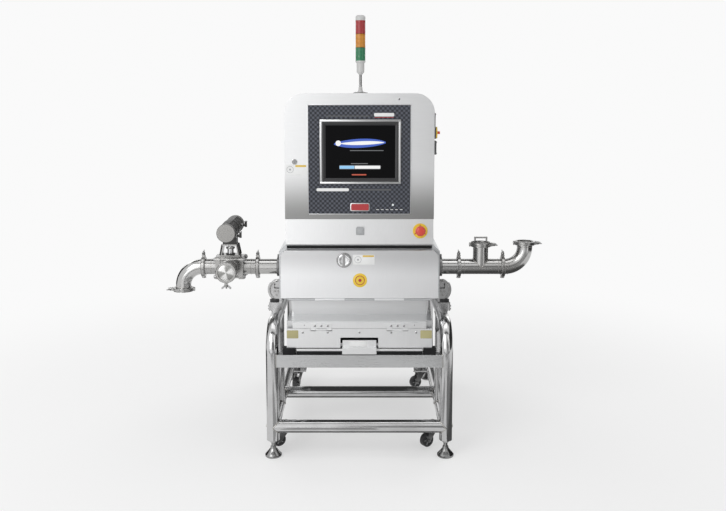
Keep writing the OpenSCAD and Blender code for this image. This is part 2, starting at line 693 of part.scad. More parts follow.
// Cabinet
module cabinet_outline(inset) {
    w = cab_half_w - inset;
    r = cab_r - inset;
    top = cab_top_z - inset;
    translate([-w, cab_z + inset]) square([2 * w, top - r - cab_z - inset]);
    translate([-w + r, cab_z + inset]) square([2 * w - 2 * r, top - cab_z - inset]);
    for (x = [-w + r, w - r]) translate([x, top - r]) circle(r = r);
}
module cabinet_shell() steel() place() difference() {
    union() {
        slab_y(cab_y, body_rear_y) cabinet_outline(0);
        block([-neck_half_w, neck_half_w], [cab_y + 8, body_rear_y], [neck_z, cab_z + 1]);
        door_hinges();
    }
    slab_y(cab_y + cab_wall, body_rear_y - cab_wall) cabinet_outline(cab_wall);
    block([-neck_half_w + cab_wall, neck_half_w - cab_wall], [cab_y + 8 + cab_wall, body_rear_y - cab_wall],
        [neck_z + cab_wall, cab_z + cab_wall + 2]);
    block([-60, 60], [pipe_y - 100, pipe_y + 100], [neck_z - 1, neck_z + cab_wall + 1]);
    // Cut-out for the screen
    block([screen_x - screen_w / 2 - 2, screen_x + screen_w / 2 + 2], [cab_y - 1, cab_y + cab_wall + 1],
        [screen_z - screen_h / 2 - 2, screen_z + screen_h / 2 + 2]);
    // Service opening at the rear
    block([-door_half_w + 20, door_half_w - 20], [body_rear_y - cab_wall - 1, body_rear_y + 1],
        [door_z + 20, door_top_z - 40]);
    rod_y(cab_y - 1, cab_y + cab_wall + 1, 6 + fit, key_x, key_z);
    at_estop() translate([0, 0, -30]) cylinder(r = 11 + fit, h = 40);
    rod_z(cab_top_z - cab_wall - 1, cab_top_z + 1, 6, 4, lamp_y);
}
door_fixed_spans = [[door_z + 40.5, door_z + 80.5], [door_top_z - 80, door_top_z - 40]];
door_moving_spans = [[door_z + 0.5, door_z + 40], [door_z + 81, door_z + 120.5],
    [door_top_z - 120, door_top_z - 80.5], [door_top_z - 39.5, door_top_z - 1]];
module rear_door() steel() place() difference() {
    union() {
        block([-door_half_w, door_half_w], [door_y, door_y + door_t], [door_z, door_top_z]);
        for (s = door_moving_spans) {
            rod_z(s[0], s[1], knuckle_r, door_pin_x, door_pin_y);
            block([door_pin_x, -door_half_w + 1], [door_pin_y + 1.5, door_pin_y + 4], s);
        }
    }
    block([-door_half_w + 2, door_half_w - 2], [door_y - 1, door_y + door_t - 2],
        [door_z + 2, door_top_z - 2]);
    rod_z(door_z - 1, door_top_z + 1, pin_r + fit, door_pin_x, door_pin_y);
    rod_y(door_y + door_t - 3, door_y + door_t + 1, 8 + fit, door_latch_x, door_latch_z);
}
module door_hinges() for (s = door_fixed_spans) {
    rod_z(s[0], s[1], knuckle_r, door_pin_x, door_pin_y);
    block([door_pin_x - 4, door_pin_x], [body_rear_y, door_pin_y], s);
    block([door_pin_x - 4, -door_half_w - 2], [body_rear_y - 1, body_rear_y + 0.5], s);
    rod_z(s[0] - 38, s[1] + 38, pin_r, door_pin_x, door_pin_y);
}
module rear_door_latch() color([0.82, 0.83, 0.85]) place()
    translate([door_latch_x, door_y + door_t, door_latch_z]) rotate([90, 0, 0]) {
        translate([0, 0, -8 - gap]) cylinder(r = 16, h = 8);
        block([-6, 6], [-60, 12], [-20, -8]);
        translate([0, 0, -10]) cylinder(r = 8, h = door_cam_back + 13);
        block([-8, 8], [-8, 32], [door_cam_back, door_cam_back + 3]);
    }
module control_band() steel() place() {
    band_shell();
    // Ears and pin of the service port's cap
    at_band(port_x, estop_z) {
        for (side = [-1, 1]) block([side * (port_cap_w / 2 + 2) - 1.5, side * (port_cap_w / 2 + 2) + 1.5],
            [port_cap_w / 2 - 1, port_cap_w / 2 + 3], [-1, 4.5]);
        rod_x(-port_cap_w / 2 - 3, port_cap_w / 2 + 3, 1, port_cap_w / 2 + 1, 2.5);
    }
}
module band_shell() difference() {
    slab_x(-neck_half_w, neck_half_w) polygon([[band_y, band_top_z], [band_y - band_lean, band_z],
        [cab_y + 7.5, band_z], [cab_y + 7.5, band_top_z]]);
    slab_x(-neck_half_w + 2, neck_half_w - 2) polygon([[band_y + band_t, cab_z - 3],
        [band_y - band_lean + band_t, band_z + 2], [cab_y + 9, band_z + 2], [cab_y + 9, cab_z - 3]]);
    at_estop() translate([0, 0, -20]) cylinder(r = 11 + fit, h = 40);
}
band_tilt = atan(band_lean / (band_top_z - band_z));
function band_front(z) = band_y - band_lean * (band_top_z - z) / (band_top_z - band_z);
module at_band(x, z) translate([x, band_front(z), z]) rotate([90 - band_tilt, 0, 0]) children();
module at_estop() at_band(estop_x, estop_z) children();
module estop_base() color([0.95, 0.75, 0.1]) place() at_estop() difference() {
    union() {
        translate([0, 0, 0.02]) cylinder(d = estop_ring_d, h = 3);
        translate([0, 0, 0.02]) cylinder(d = 30, h = 12);
        translate([0, 0, -22]) cylinder(r = 11, h = 23);
    }
    translate([0, 0, -23]) cylinder(r = 6 + fit, h = 40);
}
module estop_button() color([0.8, 0.1, 0.08]) place() at_estop() {
    translate([0, 0, 12 + estop_travel + gap]) rotate_extrude() polygon([[0, 0], [estop_d / 2, 0],
        [estop_d / 2, 5], [estop_d / 2 - 3, 10], [estop_d / 2 - 9, 13], [0, 14]]);
    translate([0, 0, -14]) cylinder(r = 6, h = 27 + estop_travel);
}
module port_cap() color([0.6, 0.61, 0.62]) place() at_band(port_x, estop_z) difference() {
    union() {
        translate([-port_cap_w / 2, -port_cap_w / 2, gap]) cube([port_cap_w, port_cap_w, 4]);
        rod_x(-port_cap_w / 2, port_cap_w / 2, 2.2, port_cap_w / 2 + 1, 2.5);
    }
    rod_x(-port_cap_w, port_cap_w, 1 + fit, port_cap_w / 2 + 1, 2.5);
}
module key_lock() color([0.7, 0.7, 0.7]) place() translate([key_x, cab_y, key_z]) rotate([90, 0, 0]) {
    difference() {
        translate([0, 0, gap]) cylinder(d = key_d, h = 4);
        block([-1, 1], [-5, 5], [2, 5]);
    }
    translate([0, 0, -20]) cylinder(r = 6, h = 21);
    block([-4, 4], [-4, 18], [-20, -17]);
}
module panel_overlay() color([0.2, 0.22, 0.26]) place() difference() {
    block([-hmi_half_w, hmi_half_w], [hmi_y, cab_y], [hmi_z, hmi_top_z]);
    block([screen_x - screen_w / 2 - 2, screen_x + screen_w / 2 + 2], [hmi_y - 1, cab_y + 1],
        [screen_z - screen_h / 2 - 2, screen_z + screen_h / 2 + 2]);
}
module screen_bezel() color([0.75, 0.76, 0.77]) place() difference() {
    block([screen_x - screen_w / 2 - bezel_w, screen_x + screen_w / 2 + bezel_w], [hmi_y - bezel_t, hmi_y],
        [screen_z - screen_h / 2 - bezel_w, screen_z + screen_h / 2 + bezel_w]);
    block([screen_x - screen_w / 2, screen_x + screen_w / 2], [hmi_y - bezel_t - 1, hmi_y + 1],
        [screen_z - screen_h / 2, screen_z + screen_h / 2]);
}
module screen_glass() color([0.03, 0.03, 0.04]) place() {
    block([screen_x - screen_w / 2 + 0.5, screen_x + screen_w / 2 - 0.5], [hmi_y - 2, cab_y + 2],
        [screen_z - screen_h / 2 + 0.5, screen_z + screen_h / 2 - 0.5]);
    block([screen_x - screen_w / 2 - 12, screen_x + screen_w / 2 + 12], [cab_y + cab_wall, cab_y + 38],
        [screen_z - screen_h / 2 - 12, screen_z + screen_h / 2 + 12]);
    block([screen_x - 40, screen_x + 40], [cab_y + 1, cab_y + 5], [screen_z - 40, screen_z + 40]);
}
module side_boxes() color([0.5, 0.51, 0.52]) place() {
    x = cab_half_w;
    block([x, x + 5], [cab_y + 20, cab_y + 90], [switch_z + 17, switch_z + 79]);
    difference() {
        block([x, x + 8], [cab_y + 25, cab_y + 75], [switch_z - 24, switch_z + 16]);
        rod_x(x - 1, x + 9, 5 + fit, cab_y + 50, switch_z);
    }
    block([x, x + 10], [cab_y + 25, cab_y + 80], [switch_z - 87, switch_z - 33]);
}
module main_switch_knob() color([0.8, 0.1, 0.08]) place() {
    x = cab_half_w + 8 + gap;
    rod_x(x, x + 5, switch_d / 2, cab_y + 50, switch_z);
    block([x + 4, x + 16], [cab_y + 52 - switch_d / 2, cab_y + 48 + switch_d / 2],
        [switch_z - 5, switch_z + 5]);
    rod_x(x - 8, x + 1, 5, cab_y + 50, switch_z);
}
module signal_tower_stem() color([0.9, 0.9, 0.9]) place() translate([4, lamp_y, cab_top_z])
    rotate_extrude() polygon([[0, 0], [30, 0], [30, 2], [14, 5], [9, 12], [8, 24], [5, 28],
        [5, lamp_pole_h], [10, lamp_pole_h + 4], [16, lamp_pole_h + 12], [16, lamp_pole_h + lamp_base_h - 6],
        [lamp_d / 2, lamp_pole_h + lamp_base_h], [lamp_d / 2, lamp_pole_h + lamp_base_h + 4],
        [0, lamp_pole_h + lamp_base_h + 4]]);
lens_z = cab_top_z + lamp_pole_h + lamp_base_h + 4;
module signal_tower_lenses() place() translate([4, lamp_y, lens_z]) {
    for (i = [0, 1, 2]) color([[0.1, 0.6, 0.35], [0.95, 0.65, 0.1], [0.8, 0.12, 0.1]][i])
        translate([0, 0, i * lamp_h]) cylinder(d = lamp_d, h = lamp_h - 0.5);
    color("white") translate([0, 0, 3 * lamp_h]) rotate_extrude() polygon([[0, 0], [lamp_d / 2, 0],
        [lamp_d / 2, 14], [lamp_d / 2 - 4, 18], [lamp_d / 2 - 12, 20], [0, 21]]);
}
module xray_generator() color([0.55, 0.57, 0.6]) place() {
    block([-150, 150], [pipe_y - 95, pipe_y + 135], [neck_z + cab_wall, neck_z + 210]);
    block([-50, 50], [pipe_y - 90, pipe_y + 90], [roof_z - 30, neck_z + cab_wall + 1]);
}
module controller_unit() color([0.3, 0.45, 0.35]) place() {
    block([37 - neck_half_w, neck_half_w - 97], [body_rear_y - 160, body_rear_y - 60],
        [neck_z + cab_wall, neck_z + 330]);
    block([97 - neck_half_w, neck_half_w - 157], [body_rear_y - 150, body_rear_y - 70],
        [neck_z + 330, neck_z + 470]);
}

// Pipe line
module ferrule(length) {
    // Flange on the pipe's end, face at z = 0, pipe going up
    cylinder(r = ferrule_r, h = ferrule_t);
    cylinder(r = pipe_r, h = length);
}
module run_x(x0, x1, r) rod_x(x0, x1, r, pipe_y, pipe_z);
module flange_x(x, way) translate([x, pipe_y, pipe_z]) rotate([0, way * 90, 0])
    translate([0, 0, joint_half]) cylinder(r = ferrule_r, h = ferrule_t);
module flange_z(x, z, way) translate([x, pipe_y, z]) rotate([way > 0 ? 0 : 180, 0, 0])
    translate([0, 0, joint_half]) cylinder(r = ferrule_r, h = ferrule_t);
// Bend that leaves along X at x = 0 and ends pointing down, R to its centre
module bend_down(r) translate([0, 0, -elbow_r]) rotate([90, 0, 0]) rotate([0, 0, 90])
    rotate_extrude(angle = 90) translate([elbow_r, 0]) circle(r = r);
module inlet_path(r, extra) {
    x = -elbow_x + elbow_r;
    run_x(x, -inlet_x - joint_half + extra, r);
    translate([x, pipe_y, pipe_z]) bend_down(r);
    rod_z(inlet_end_z + joint_half - extra, pipe_z - elbow_r, r, -elbow_x, pipe_y);
}
module inlet_elbow() steel() place() difference() {
    union() {
        inlet_path(pipe_r, 0);
        flange_x(-inlet_x, -1);
        flange_z(-elbow_x, inlet_end_z, 1);
    }
    inlet_path(pipe_in_r, 1);
}
module outlet_path(r, extra) {
    x = outlet_x - elbow_r;
    run_x(tee_out_x + joint_half - extra, x, r);
    translate([x, pipe_y, pipe_z]) rotate([0, 0, 180]) mirror([0, 0, 1]) bend_down(r);
    rod_z(pipe_z + elbow_r, outlet_z - joint_half + extra, r, outlet_x, pipe_y);
}
module outlet_elbow() steel() place() difference() {
    union() {
        outlet_path(pipe_r, 0);
        flange_x(tee_out_x, 1);
        flange_z(outlet_x, outlet_z, -1);
    }
    outlet_path(pipe_in_r, 1);
}
module inspection_pipe() color([0.85, 0.86, 0.88]) place() difference() {
    union() {
        run_x(-valve_out_x + joint_half, tee_in_x - joint_half, pipe_r);
        flange_x(-valve_out_x, 1);
        flange_x(tee_in_x, -1);
    }
    run_x(-valve_out_x - 1, tee_in_x + 1, pipe_in_r);
}
module pipe_tee() steel() place() difference() {
    union() {
        run_x(tee_in_x + joint_half, tee_out_x - joint_half, pipe_r);
        rod_z(pipe_z, tee_top_z - joint_half, pipe_r, tee_x, pipe_y);
        flange_x(tee_in_x, 1);
        flange_x(tee_out_x, -1);
        flange_z(tee_x, tee_top_z, -1);
    }
    run_x(tee_in_x - 1, tee_out_x + 1, pipe_in_r);
    rod_z(pipe_z, tee_top_z + 1, pipe_in_r, tee_x, pipe_y);
}
module valve_body() steel() place() difference() {
    hw = valve_w / 2;
    fw = valve_flange_w / 2;
    union() {
        block([-valve_x - hw, -valve_x + hw], [pipe_y - 40, pipe_y + 40], [pipe_z - 42, yoke_z]);
        for (side = [-1, 1]) slab_x(-valve_x + side * (hw + valve_flange_t / 2) - valve_flange_t / 2,
            -valve_x + side * (hw + valve_flange_t / 2) + valve_flange_t / 2)
            round_rect([pipe_y - fw, pipe_z - fw], [pipe_y + fw, pipe_z + fw], 12);
        run_x(-inlet_x + joint_half, -valve_out_x - joint_half, pipe_r);
        rod_y(port_y + joint_half, pipe_y, pipe_r, -valve_x, pipe_z);
        flange_x(-inlet_x, 1);
        flange_x(-valve_out_x, -1);
        rod_y(port_y + joint_half, port_y + joint_half + ferrule_t, ferrule_r, -valve_x, pipe_z);
        for (y = [-36, 36], z = [-36, 36]) rod_x(-valve_x - hw - valve_flange_t - 6,
            -valve_x + hw + valve_flange_t + 6, 6, pipe_y + y, pipe_z + z);
        rod_z(yoke_z - 2, yoke_z + 5, 16, -valve_x, pipe_y);
    }
    run_x(-inlet_x - 1, -valve_out_x + 1, pipe_in_r);
    rod_y(port_y - 1, pipe_y, pipe_in_r, -valve_x, pipe_z);
    translate([-valve_x, pipe_y, pipe_z]) sphere(d = ball_d + 2 * gap);
    rod_z(pipe_z, yoke_z + 20, stem_r + fit, -valve_x, pipe_y);
}
module valve_rotor() color([0.8, 0.81, 0.83]) place() difference() {
    union() {
        translate([-valve_x, pipe_y, pipe_z]) sphere(d = ball_d);
        rod_z(pipe_z, yoke_top_z + 20, stem_r, -valve_x, pipe_y);
        rod_z(yoke_z + 8, yoke_top_z - 12, 13, -valve_x, pipe_y);
    }
    run_x(-valve_x - ball_d, -valve_x + ball_d, pipe_in_r - 2);
    rod_y(pipe_y - ball_d, pipe_y, pipe_in_r - 2, -valve_x, pipe_z);
}
module valve_yoke() steel() place() translate([-valve_x, pipe_y, 0]) {
    difference() {
        union() {
            block([-42, 42], [-30, 30], [yoke_z, yoke_z + 6]);
            block([-30, 30], [-28, 28], [yoke_top_z - 6, yoke_top_z]);
        }
        rod_z(yoke_z - 2, yoke_z + 7, 16 + fit, 0, 0);
        rod_z(yoke_top_z - 7, yoke_top_z + 1, stem_r + gap, 0, 0);
    }
    for (side = [-1, 1]) hull() {
        block([side * 36 - 3, side * 36 + 3], [-22, 22], [yoke_z + 5, yoke_z + 6]);
        block([side * 27 - 3, side * 27 + 3], [-22, 22], [yoke_top_z - 2, yoke_top_z - 1]);
    }
}
module valve_actuator() color([0.62, 0.63, 0.64]) place() translate([-valve_x, pipe_y + 17, actuator_z]) {
    r = actuator_d / 2;
    half = actuator_len / 2;
    difference() {
        union() {
            rod_y(-half + 9, half - 9, r - 1.5, 0, 0);
            rod_y(-15, 15, r + 0.5, 0, 0);
            block([-28, 28], [-17 - 26, -17 + 26], [yoke_top_z - actuator_z, -r + 8]);
        }
        rod_y(-half + 8, half - 8, r - 5, 0, 0);
        rod_z(yoke_top_z - actuator_z - 1, -r + 12, stem_r + gap, 0, -17);
    }
    for (side = [-1, 1]) rod_y(side * half - (side > 0 ? 9 : 0), side * half + (side > 0 ? 0 : 9), r, 0, 0);
    // Air fittings
    for (p = [[-95, -16], [70, 4]]) {
        rod_x(r - 4, r + 16, 6, p[0], p[1]);
        rod_z(p[1] - 8, p[1] + 14, 5, r + 16, p[0]);
    }
}
module blind_caps() color([0.8, 0.81, 0.83]) place() {
    rod_z(tee_top_z + joint_half, tee_top_z + joint_half + 6, ferrule_r, tee_x, pipe_y);
    // Bail on the tee's cap
    translate([tee_x, pipe_y, tee_top_z + joint_half + 5]) {
        for (side = [-1, 1]) rod_z(0, 22, 3.5, side * 24, 0);
        rod_x(-27.5, 27.5, 3.5, 0, 24);
    }
    rod_y(port_y - joint_half - 6, port_y - joint_half, ferrule_r, -valve_x, pipe_z);
}
// Clamp ring about Z with its lug and bolt towards +X
module clamp_ring() {
    lip_r = pipe_r + 1.5;
    half = clamp_w / 2;
    seat = joint_half + ferrule_t + 0.15;
    rotate_extrude() polygon([[lip_r, -half], [clamp_r - 2, -half], [clamp_r, -half + 3],
        [clamp_r, half - 3], [clamp_r - 2, half], [lip_r, half], [lip_r, seat], [clamp_bore_r, seat],
        [clamp_bore_r, -seat], [lip_r, -seat]]);
}
module cap_clamp_ring() {
    // Wider seat on one side, for a blind cap
    lip_r = pipe_r + 1.5;
    half = clamp_w / 2;
    seat = joint_half + ferrule_t + 0.15;
    cap_seat = joint_half + 6.15;
    rotate_extrude() polygon([[lip_r, -half], [clamp_r - 2, -half], [clamp_r, -half + 3],
        [clamp_r, half], [clamp_r - 2, half + 3], [lip_r, half + 3], [lip_r, cap_seat],
        [clamp_bore_r, cap_seat], [clamp_bore_r, -seat], [lip_r, -seat]]);
}
module clamp_lug() {
    block([clamp_r - 2, clamp_r + 8], [-7, 7], [-6, 6]);
    rod_x(clamp_r + 6, clamp_r + 24, 3, 0, 0);
}
module clamp_nut() {
    difference() {
        union() {
            rod_x(clamp_r + 8 + gap, clamp_r + 17, 6.5, 0, 0);
            for (side = [-1, 1]) translate([clamp_r, 0, -2]) linear_extrude(4) polygon([[9, side * 3],
                [15, side * 3], [25, side * 14], [26, side * 19], [20, side * 20], [11, side * 10]]);
        }
        rod_x(clamp_r, clamp_r + 40, 3 + fit, 0, 0);
    }
}
// Turns from the clamp's own axis to each joint's place on the pipe line
function way_turn(way) = way == "x" ? [0, -90, 0] : way == "left" ? [0, 0, 180]
    : way == "right" ? [0, 0, 0] : [90, 90, 0];
module at_joint(j) translate([j[0], j[1], j[2]]) rotate(way_turn(j[3])) children();
module pipe_clamps() steel() place() for (i = [0:len(JOINTS) - 1]) at_joint(JOINTS[i]) {
    if (i == 5 || i == 7) cap_clamp_ring(); else clamp_ring();
    clamp_lug();
}
module wing_nuts() color([0.8, 0.81, 0.83]) place() for (j = JOINTS) at_joint(j) clamp_nut();
module gaskets() color([0.9, 0.9, 0.88]) place() for (j = JOINTS) at_joint(j)
    translate([0, 0, -joint_half]) difference() {
        cylinder(r = ferrule_r, h = gasket_t);
        translate([0, 0, -1]) cylinder(r = pipe_in_r, h = gasket_t + 2);
    }

hoop_left();
hoop_right();
side_rail_left();
side_rail_right();
cross_tubes();
top_beams();
foot_front_left();
foot_front_right();
foot_rear_left();
foot_rear_right();
foot_lock_nuts();
caster_fork_front_left();
caster_fork_front_right();
caster_fork_rear_left();
caster_fork_rear_right();
caster_wheel_front_left();
caster_wheel_front_right();
caster_wheel_rear_left();
caster_wheel_rear_right();
beam_pads();
base_box();
drip_tray();
access_flap();
flap_hinge();
chamber_shell();
inspection_pipe();
front_cover();
cover_latch();
cover_hinge();
side_bracket_left();
side_bracket_right();
line_detector();
cabinet_shell();
rear_door();
rear_door_latch();
control_band();
estop_base();
estop_button();
port_cap();
key_lock();
panel_overlay();
screen_bezel();
screen_glass();
side_boxes();
main_switch_knob();
signal_tower_stem();
signal_tower_lenses();
xray_generator();
controller_unit();
inlet_elbow();
valve_body();
valve_rotor();
valve_yoke();
valve_actuator();
pipe_tee();
blind_caps();
outlet_elbow();
pipe_clamps();
wing_nuts();
gaskets();
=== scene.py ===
"""Looks of the x-ray inspection machine: materials, small parts, light and camera."""

import fnmatch
from itertools import product
from math import atan, cos, pi, radians, sin, sqrt

import bmesh
import bpy
from mathutils import Matrix, Vector


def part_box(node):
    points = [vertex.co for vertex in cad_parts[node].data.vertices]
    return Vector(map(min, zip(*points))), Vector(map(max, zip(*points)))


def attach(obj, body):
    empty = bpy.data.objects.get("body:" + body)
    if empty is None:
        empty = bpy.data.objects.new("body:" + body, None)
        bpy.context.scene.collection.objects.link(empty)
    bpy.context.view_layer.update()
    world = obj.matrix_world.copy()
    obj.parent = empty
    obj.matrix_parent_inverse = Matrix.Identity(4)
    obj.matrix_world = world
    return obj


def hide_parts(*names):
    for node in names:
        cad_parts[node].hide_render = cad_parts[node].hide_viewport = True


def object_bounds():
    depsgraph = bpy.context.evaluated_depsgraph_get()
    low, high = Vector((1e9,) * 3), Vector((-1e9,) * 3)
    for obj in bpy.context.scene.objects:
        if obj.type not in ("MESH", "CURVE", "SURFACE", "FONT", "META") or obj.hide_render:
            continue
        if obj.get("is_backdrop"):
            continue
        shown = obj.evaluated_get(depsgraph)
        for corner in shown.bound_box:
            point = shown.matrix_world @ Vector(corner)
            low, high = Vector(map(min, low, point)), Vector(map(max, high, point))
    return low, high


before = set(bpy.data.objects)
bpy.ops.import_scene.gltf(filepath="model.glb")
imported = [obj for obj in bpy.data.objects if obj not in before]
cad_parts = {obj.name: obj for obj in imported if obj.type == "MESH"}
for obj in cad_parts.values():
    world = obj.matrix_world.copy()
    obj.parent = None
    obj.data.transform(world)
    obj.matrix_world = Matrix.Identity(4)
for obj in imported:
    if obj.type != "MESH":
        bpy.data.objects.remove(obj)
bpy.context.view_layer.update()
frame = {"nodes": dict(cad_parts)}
nodes = frame["nodes"]
CX = 0.026  # the cabinet's centre plane, in the frame's X


# Materials
class Net:
    """One node tree: adds nodes and feeds their sockets."""

    def __init__(self, owner, output="ShaderNodeOutputMaterial"):
        owner.use_nodes = True
        self.owner, self.tree = owner, owner.node_tree
        self.tree.nodes.clear()
        self.out = self.add(output)

    def add(self, kind, **inputs):
        node = self.tree.nodes.new(kind)
        for name, value in inputs.items():
            node.inputs[name].default_value = value
        return node

    def join(self, a, b):
        self.tree.links.new(a, b)

    def feed(self, socket, value):
        """Give a socket a number, a colour or another node's output."""
        if isinstance(value, (int, float)):
            socket.default_value = value
        elif isinstance(value, tuple):
            socket.default_value = (*value, 1.0)
        else:
            self.join(value, socket)

    def math(self, operation, a, b=0.0):
        node = self.add("ShaderNodeMath")
        node.operation = operation
        self.feed(node.inputs[0], a)
        self.feed(node.inputs[1], b)
        return node.outputs[0]

    def span(self, value, lo, hi, a=0.0, b=1.0, smooth=False):
        """Turn lo to hi into a to b."""
        ends = {"From Min": lo, "From Max": hi, "To Min": a, "To Max": b}
        node = self.add("ShaderNodeMapRange", **ends)
        if smooth:
            node.interpolation_type = "SMOOTHSTEP"
        self.join(value, node.inputs["Value"])
        return node.outputs["Result"]

    def blend(self, factor, a, b):
        """Give the output a mix of two shaders."""
        node = self.add("ShaderNodeMixShader")
        for socket, value in zip(node.inputs, (factor, a.outputs[0], b.outputs[0])):
            self.join(value, socket)
        self.join(node.outputs[0], self.out.inputs["Surface"])


class Surface(Net):
    """A material round one Principled shader, in the object's own coordinates."""

    def __init__(self, name):
        super().__init__(bpy.data.materials.new(name))
        self.shader = self.add("ShaderNodeBsdfPrincipled")
        self.join(self.shader.outputs[0], self.out.inputs[0])
        self.place = self.add("ShaderNodeTexCoord").outputs["Object"]

    def noise(self, scale, detail, rough, stretch=(1, 1, 1), distort=0.0):
        stretched = self.add("ShaderNodeMapping", Scale=stretch)
        self.join(self.place, stretched.inputs["Vector"])
        node = self.add("ShaderNodeTexNoise", Scale=scale, Detail=detail, Roughness=rough, Distortion=distort)
        self.join(stretched.outputs[0], node.inputs["Vector"])
        return node.outputs["Fac"]

    def mix(self, factor, a, b):
        node = self.add("ShaderNodeMix")
        node.data_type = "RGBA"
        for socket, value in ((node.inputs["Factor"], factor), (node.inputs[6], a), (node.inputs[7], b)):
            self.feed(socket, value)
        return node.outputs[2]

    def axis(self, letter):
        node = self.add("ShaderNodeSeparateXYZ")
        self.join(self.place, node.inputs[0])
        return node.outputs[letter]

    def set(self, **values):
        for name, value in values.items():
            self.feed(self.shader.inputs[name.replace("_", " ")], value)

    def bump(self, height, strength, distance=0.0003, edge=0.0):
        """Raise the surface by a pattern, round its edges, and hand over the material."""
        node = self.add("ShaderNodeBump", Strength=strength, Distance=distance)
        self.join(height, node.inputs["Height"])
        if edge:
            bevel = self.add("ShaderNodeBevel", Radius=edge)
            bevel.samples = 4
            self.join(bevel.outputs[0], node.inputs["Normal"])
        self.join(node.outputs[0], self.shader.inputs["Normal"])
        return self.owner


def brushed(name, light, dark, rough, grain, edge=0.0015, metal=1.0, painted_shade=None):
    """Brushed sheet: fine grain, faint smudges, a rounded edge and, if asked, a zone of painted shade."""
    n = Surface(name)
    fine = n.noise(14.0, 4.0, 0.5, grain)
    cloud = n.noise(3.2, 3.0, 0.5, distort=0.6)
    tone = n.mix(n.span(fine, 0.2, 0.8, 0.35, 1.0), dark, light)
    tone = n.mix(n.span(cloud, 0.35, 0.75, 0.0, 0.22), tone, dark)
    # Painted shade: the colour turns towards a darker one at the start of the span along the axis and fades
    # out by its end
    if painted_shade:
        axis, start, end, colour, amount = painted_shade
        tone = n.mix(n.span(n.axis(axis), start, end, amount, 0.0, True), tone, colour)
    grain_rough = n.span(fine, 0.2, 0.8, rough - 0.04, rough + 0.04)
    n.set(Base_Color=tone, Metallic=metal,
          Roughness=n.math("ADD", grain_rough, n.span(cloud, 0.3, 0.7, -0.03, 0.04)))
    return n.bump(fine, 0.05, edge=edge)


def polished(name, light, dark, rough):
    """Polished steel: long faint polishing lines and a little haze in broad clouds."""
    n = Surface(name)
    lines = n.noise(60.0, 4.0, 0.6, (1, 1, 0.25))
    haze = n.noise(5.0, 4.0, 0.55, distort=0.8)
    line_rough = n.span(lines, 0.25, 0.75, rough - 0.05, rough + 0.06)
    n.set(Base_Color=n.mix(n.span(haze, 0.3, 0.75), light, dark), Metallic=1.0,
          Roughness=n.math("ADD", line_rough, n.span(haze, 0.4, 0.7, 0.0, 0.08)))
    return n.bump(lines, 0.05, edge=0.001)


def turned(name, light, dark, centre):
    """Face turned on a lathe: painted reflection in light and dark sectors about its centre, and fine rings.
    """
    n = Surface(name)
    x = n.math("SUBTRACT", n.axis("X"), centre[0])
    z = n.math("SUBTRACT", n.axis("Z"), centre[1])
    turn = n.math("MULTIPLY", n.math("ARCTAN2", z, x), 3.0)
    # Painted reflection: light and dark sectors round the centre, as a turned face reflects its surroundings
    painted_reflection_sector = n.span(n.math("SINE", n.math("ADD", turn, 0.9)), -0.8, 0.8, 0.0, 1.0, True)
    radius = n.math("SQRT", n.math("ADD", n.math("MULTIPLY", x, x), n.math("MULTIPLY", z, z)))
    rings = n.math("SINE", n.math("MULTIPLY", radius, 9000.0))
    n.set(Base_Color=n.mix(painted_reflection_sector, dark, light), Metallic=1.0, Roughness=n.span(rings, -1.0, 1.0, 0.28, 0.36))
    return n.bump(rings, 0.08, 0.0002, 0.001)


def plastic(name, colour, rough=0.4, grain=260.0, depth=0.08, coat=0.0):
    """Moulded plastic: fine spark texture, slight tone change, optional clear gloss."""
    n = Surface(name)
    fine = n.noise(grain, 2.0, 0.5)
    cloud = n.span(n.noise(9.0, 3.0, 0.5), 0.3, 0.7)
    n.set(Base_Color=n.mix(cloud, colour, tuple(c * 0.88 for c in colour)),
          Roughness=n.span(fine, 0.2, 0.8, rough - 0.06, rough + 0.08), Coat_Weight=coat, Coat_Roughness=0.12)
    return n.bump(fine, depth, edge=0.0008)


def glow(name, colour, strength):
    """Lit part of the screen, faintly striped like a panel's pixel rows."""
    n = Surface(name)
    rows = n.noise(900.0, 1.0, 0.4, (0.05, 1, 1))
    tone = n.mix(n.span(rows, 0.3, 0.7, 0.0, 0.15), colour, tuple(c * 0.8 for c in colour))
    n.set(Base_Color=(0.01, 0.01, 0.01), Roughness=0.3, Emission_Color=tone, Emission_Strength=strength)
    return n.owner


def lens(name, colour):
    """Ribbed translucent lens of a signal lamp."""
    n = Surface(name)
    wave = n.add("ShaderNodeTexWave", Scale=60.0)
    wave.wave_type, wave.bands_direction = "BANDS", "Z"
    n.join(n.place, wave.inputs["Vector"])
    ribs = wave.outputs["Fac"]
    n.set(Base_Color=n.mix(n.span(ribs, 0.2, 0.8), colour, tuple(c * 0.62 for c in colour)), Roughness=0.22,
          Coat_Weight=0.6, Coat_Roughness=0.08, Subsurface_Weight=0.15)
    return n.bump(ribs, 0.5, 0.001)


def lattice(name, pitch=0.0185):
    """The panel's printed foil: dark and pale squares, corner to corner, crossed by fine lines."""
    n = Surface(name)

    def wave(letter):
        part = n.math("FRACT", n.math("MULTIPLY", n.axis(letter), 1 / pitch))
        return n.math("ABSOLUTE", n.math("SUBTRACT", part, 0.5))

    across, up = wave("X"), wave("Z")
    check = n.math("MULTIPLY", n.math("SUBTRACT", across, 0.25), n.math("SUBTRACT", up, 0.25))
    cells = n.span(check, -0.02, 0.02, 0.0, 1.0, True)
    glint = n.span(n.math("MINIMUM", across, up), 0.0, 0.07, 1.0, 0.0, True)
    spark = n.noise(420.0, 2.0, 0.5)
    tone = n.mix(cells, (0.012, 0.013, 0.018), (0.085, 0.092, 0.114))
    tone = n.mix(n.math("MULTIPLY", glint, 0.25), tone, (0.13, 0.145, 0.18))
    tone = n.mix(n.span(spark, 0.4, 0.8, 0.0, 0.12), tone, (0.12, 0.125, 0.14))
    n.set(Base_Color=tone, Roughness=n.span(spark, 0.2, 0.8, 0.46, 0.58), Specular_IOR_Level=0.3)
    return n.bump(cells, 0.08)


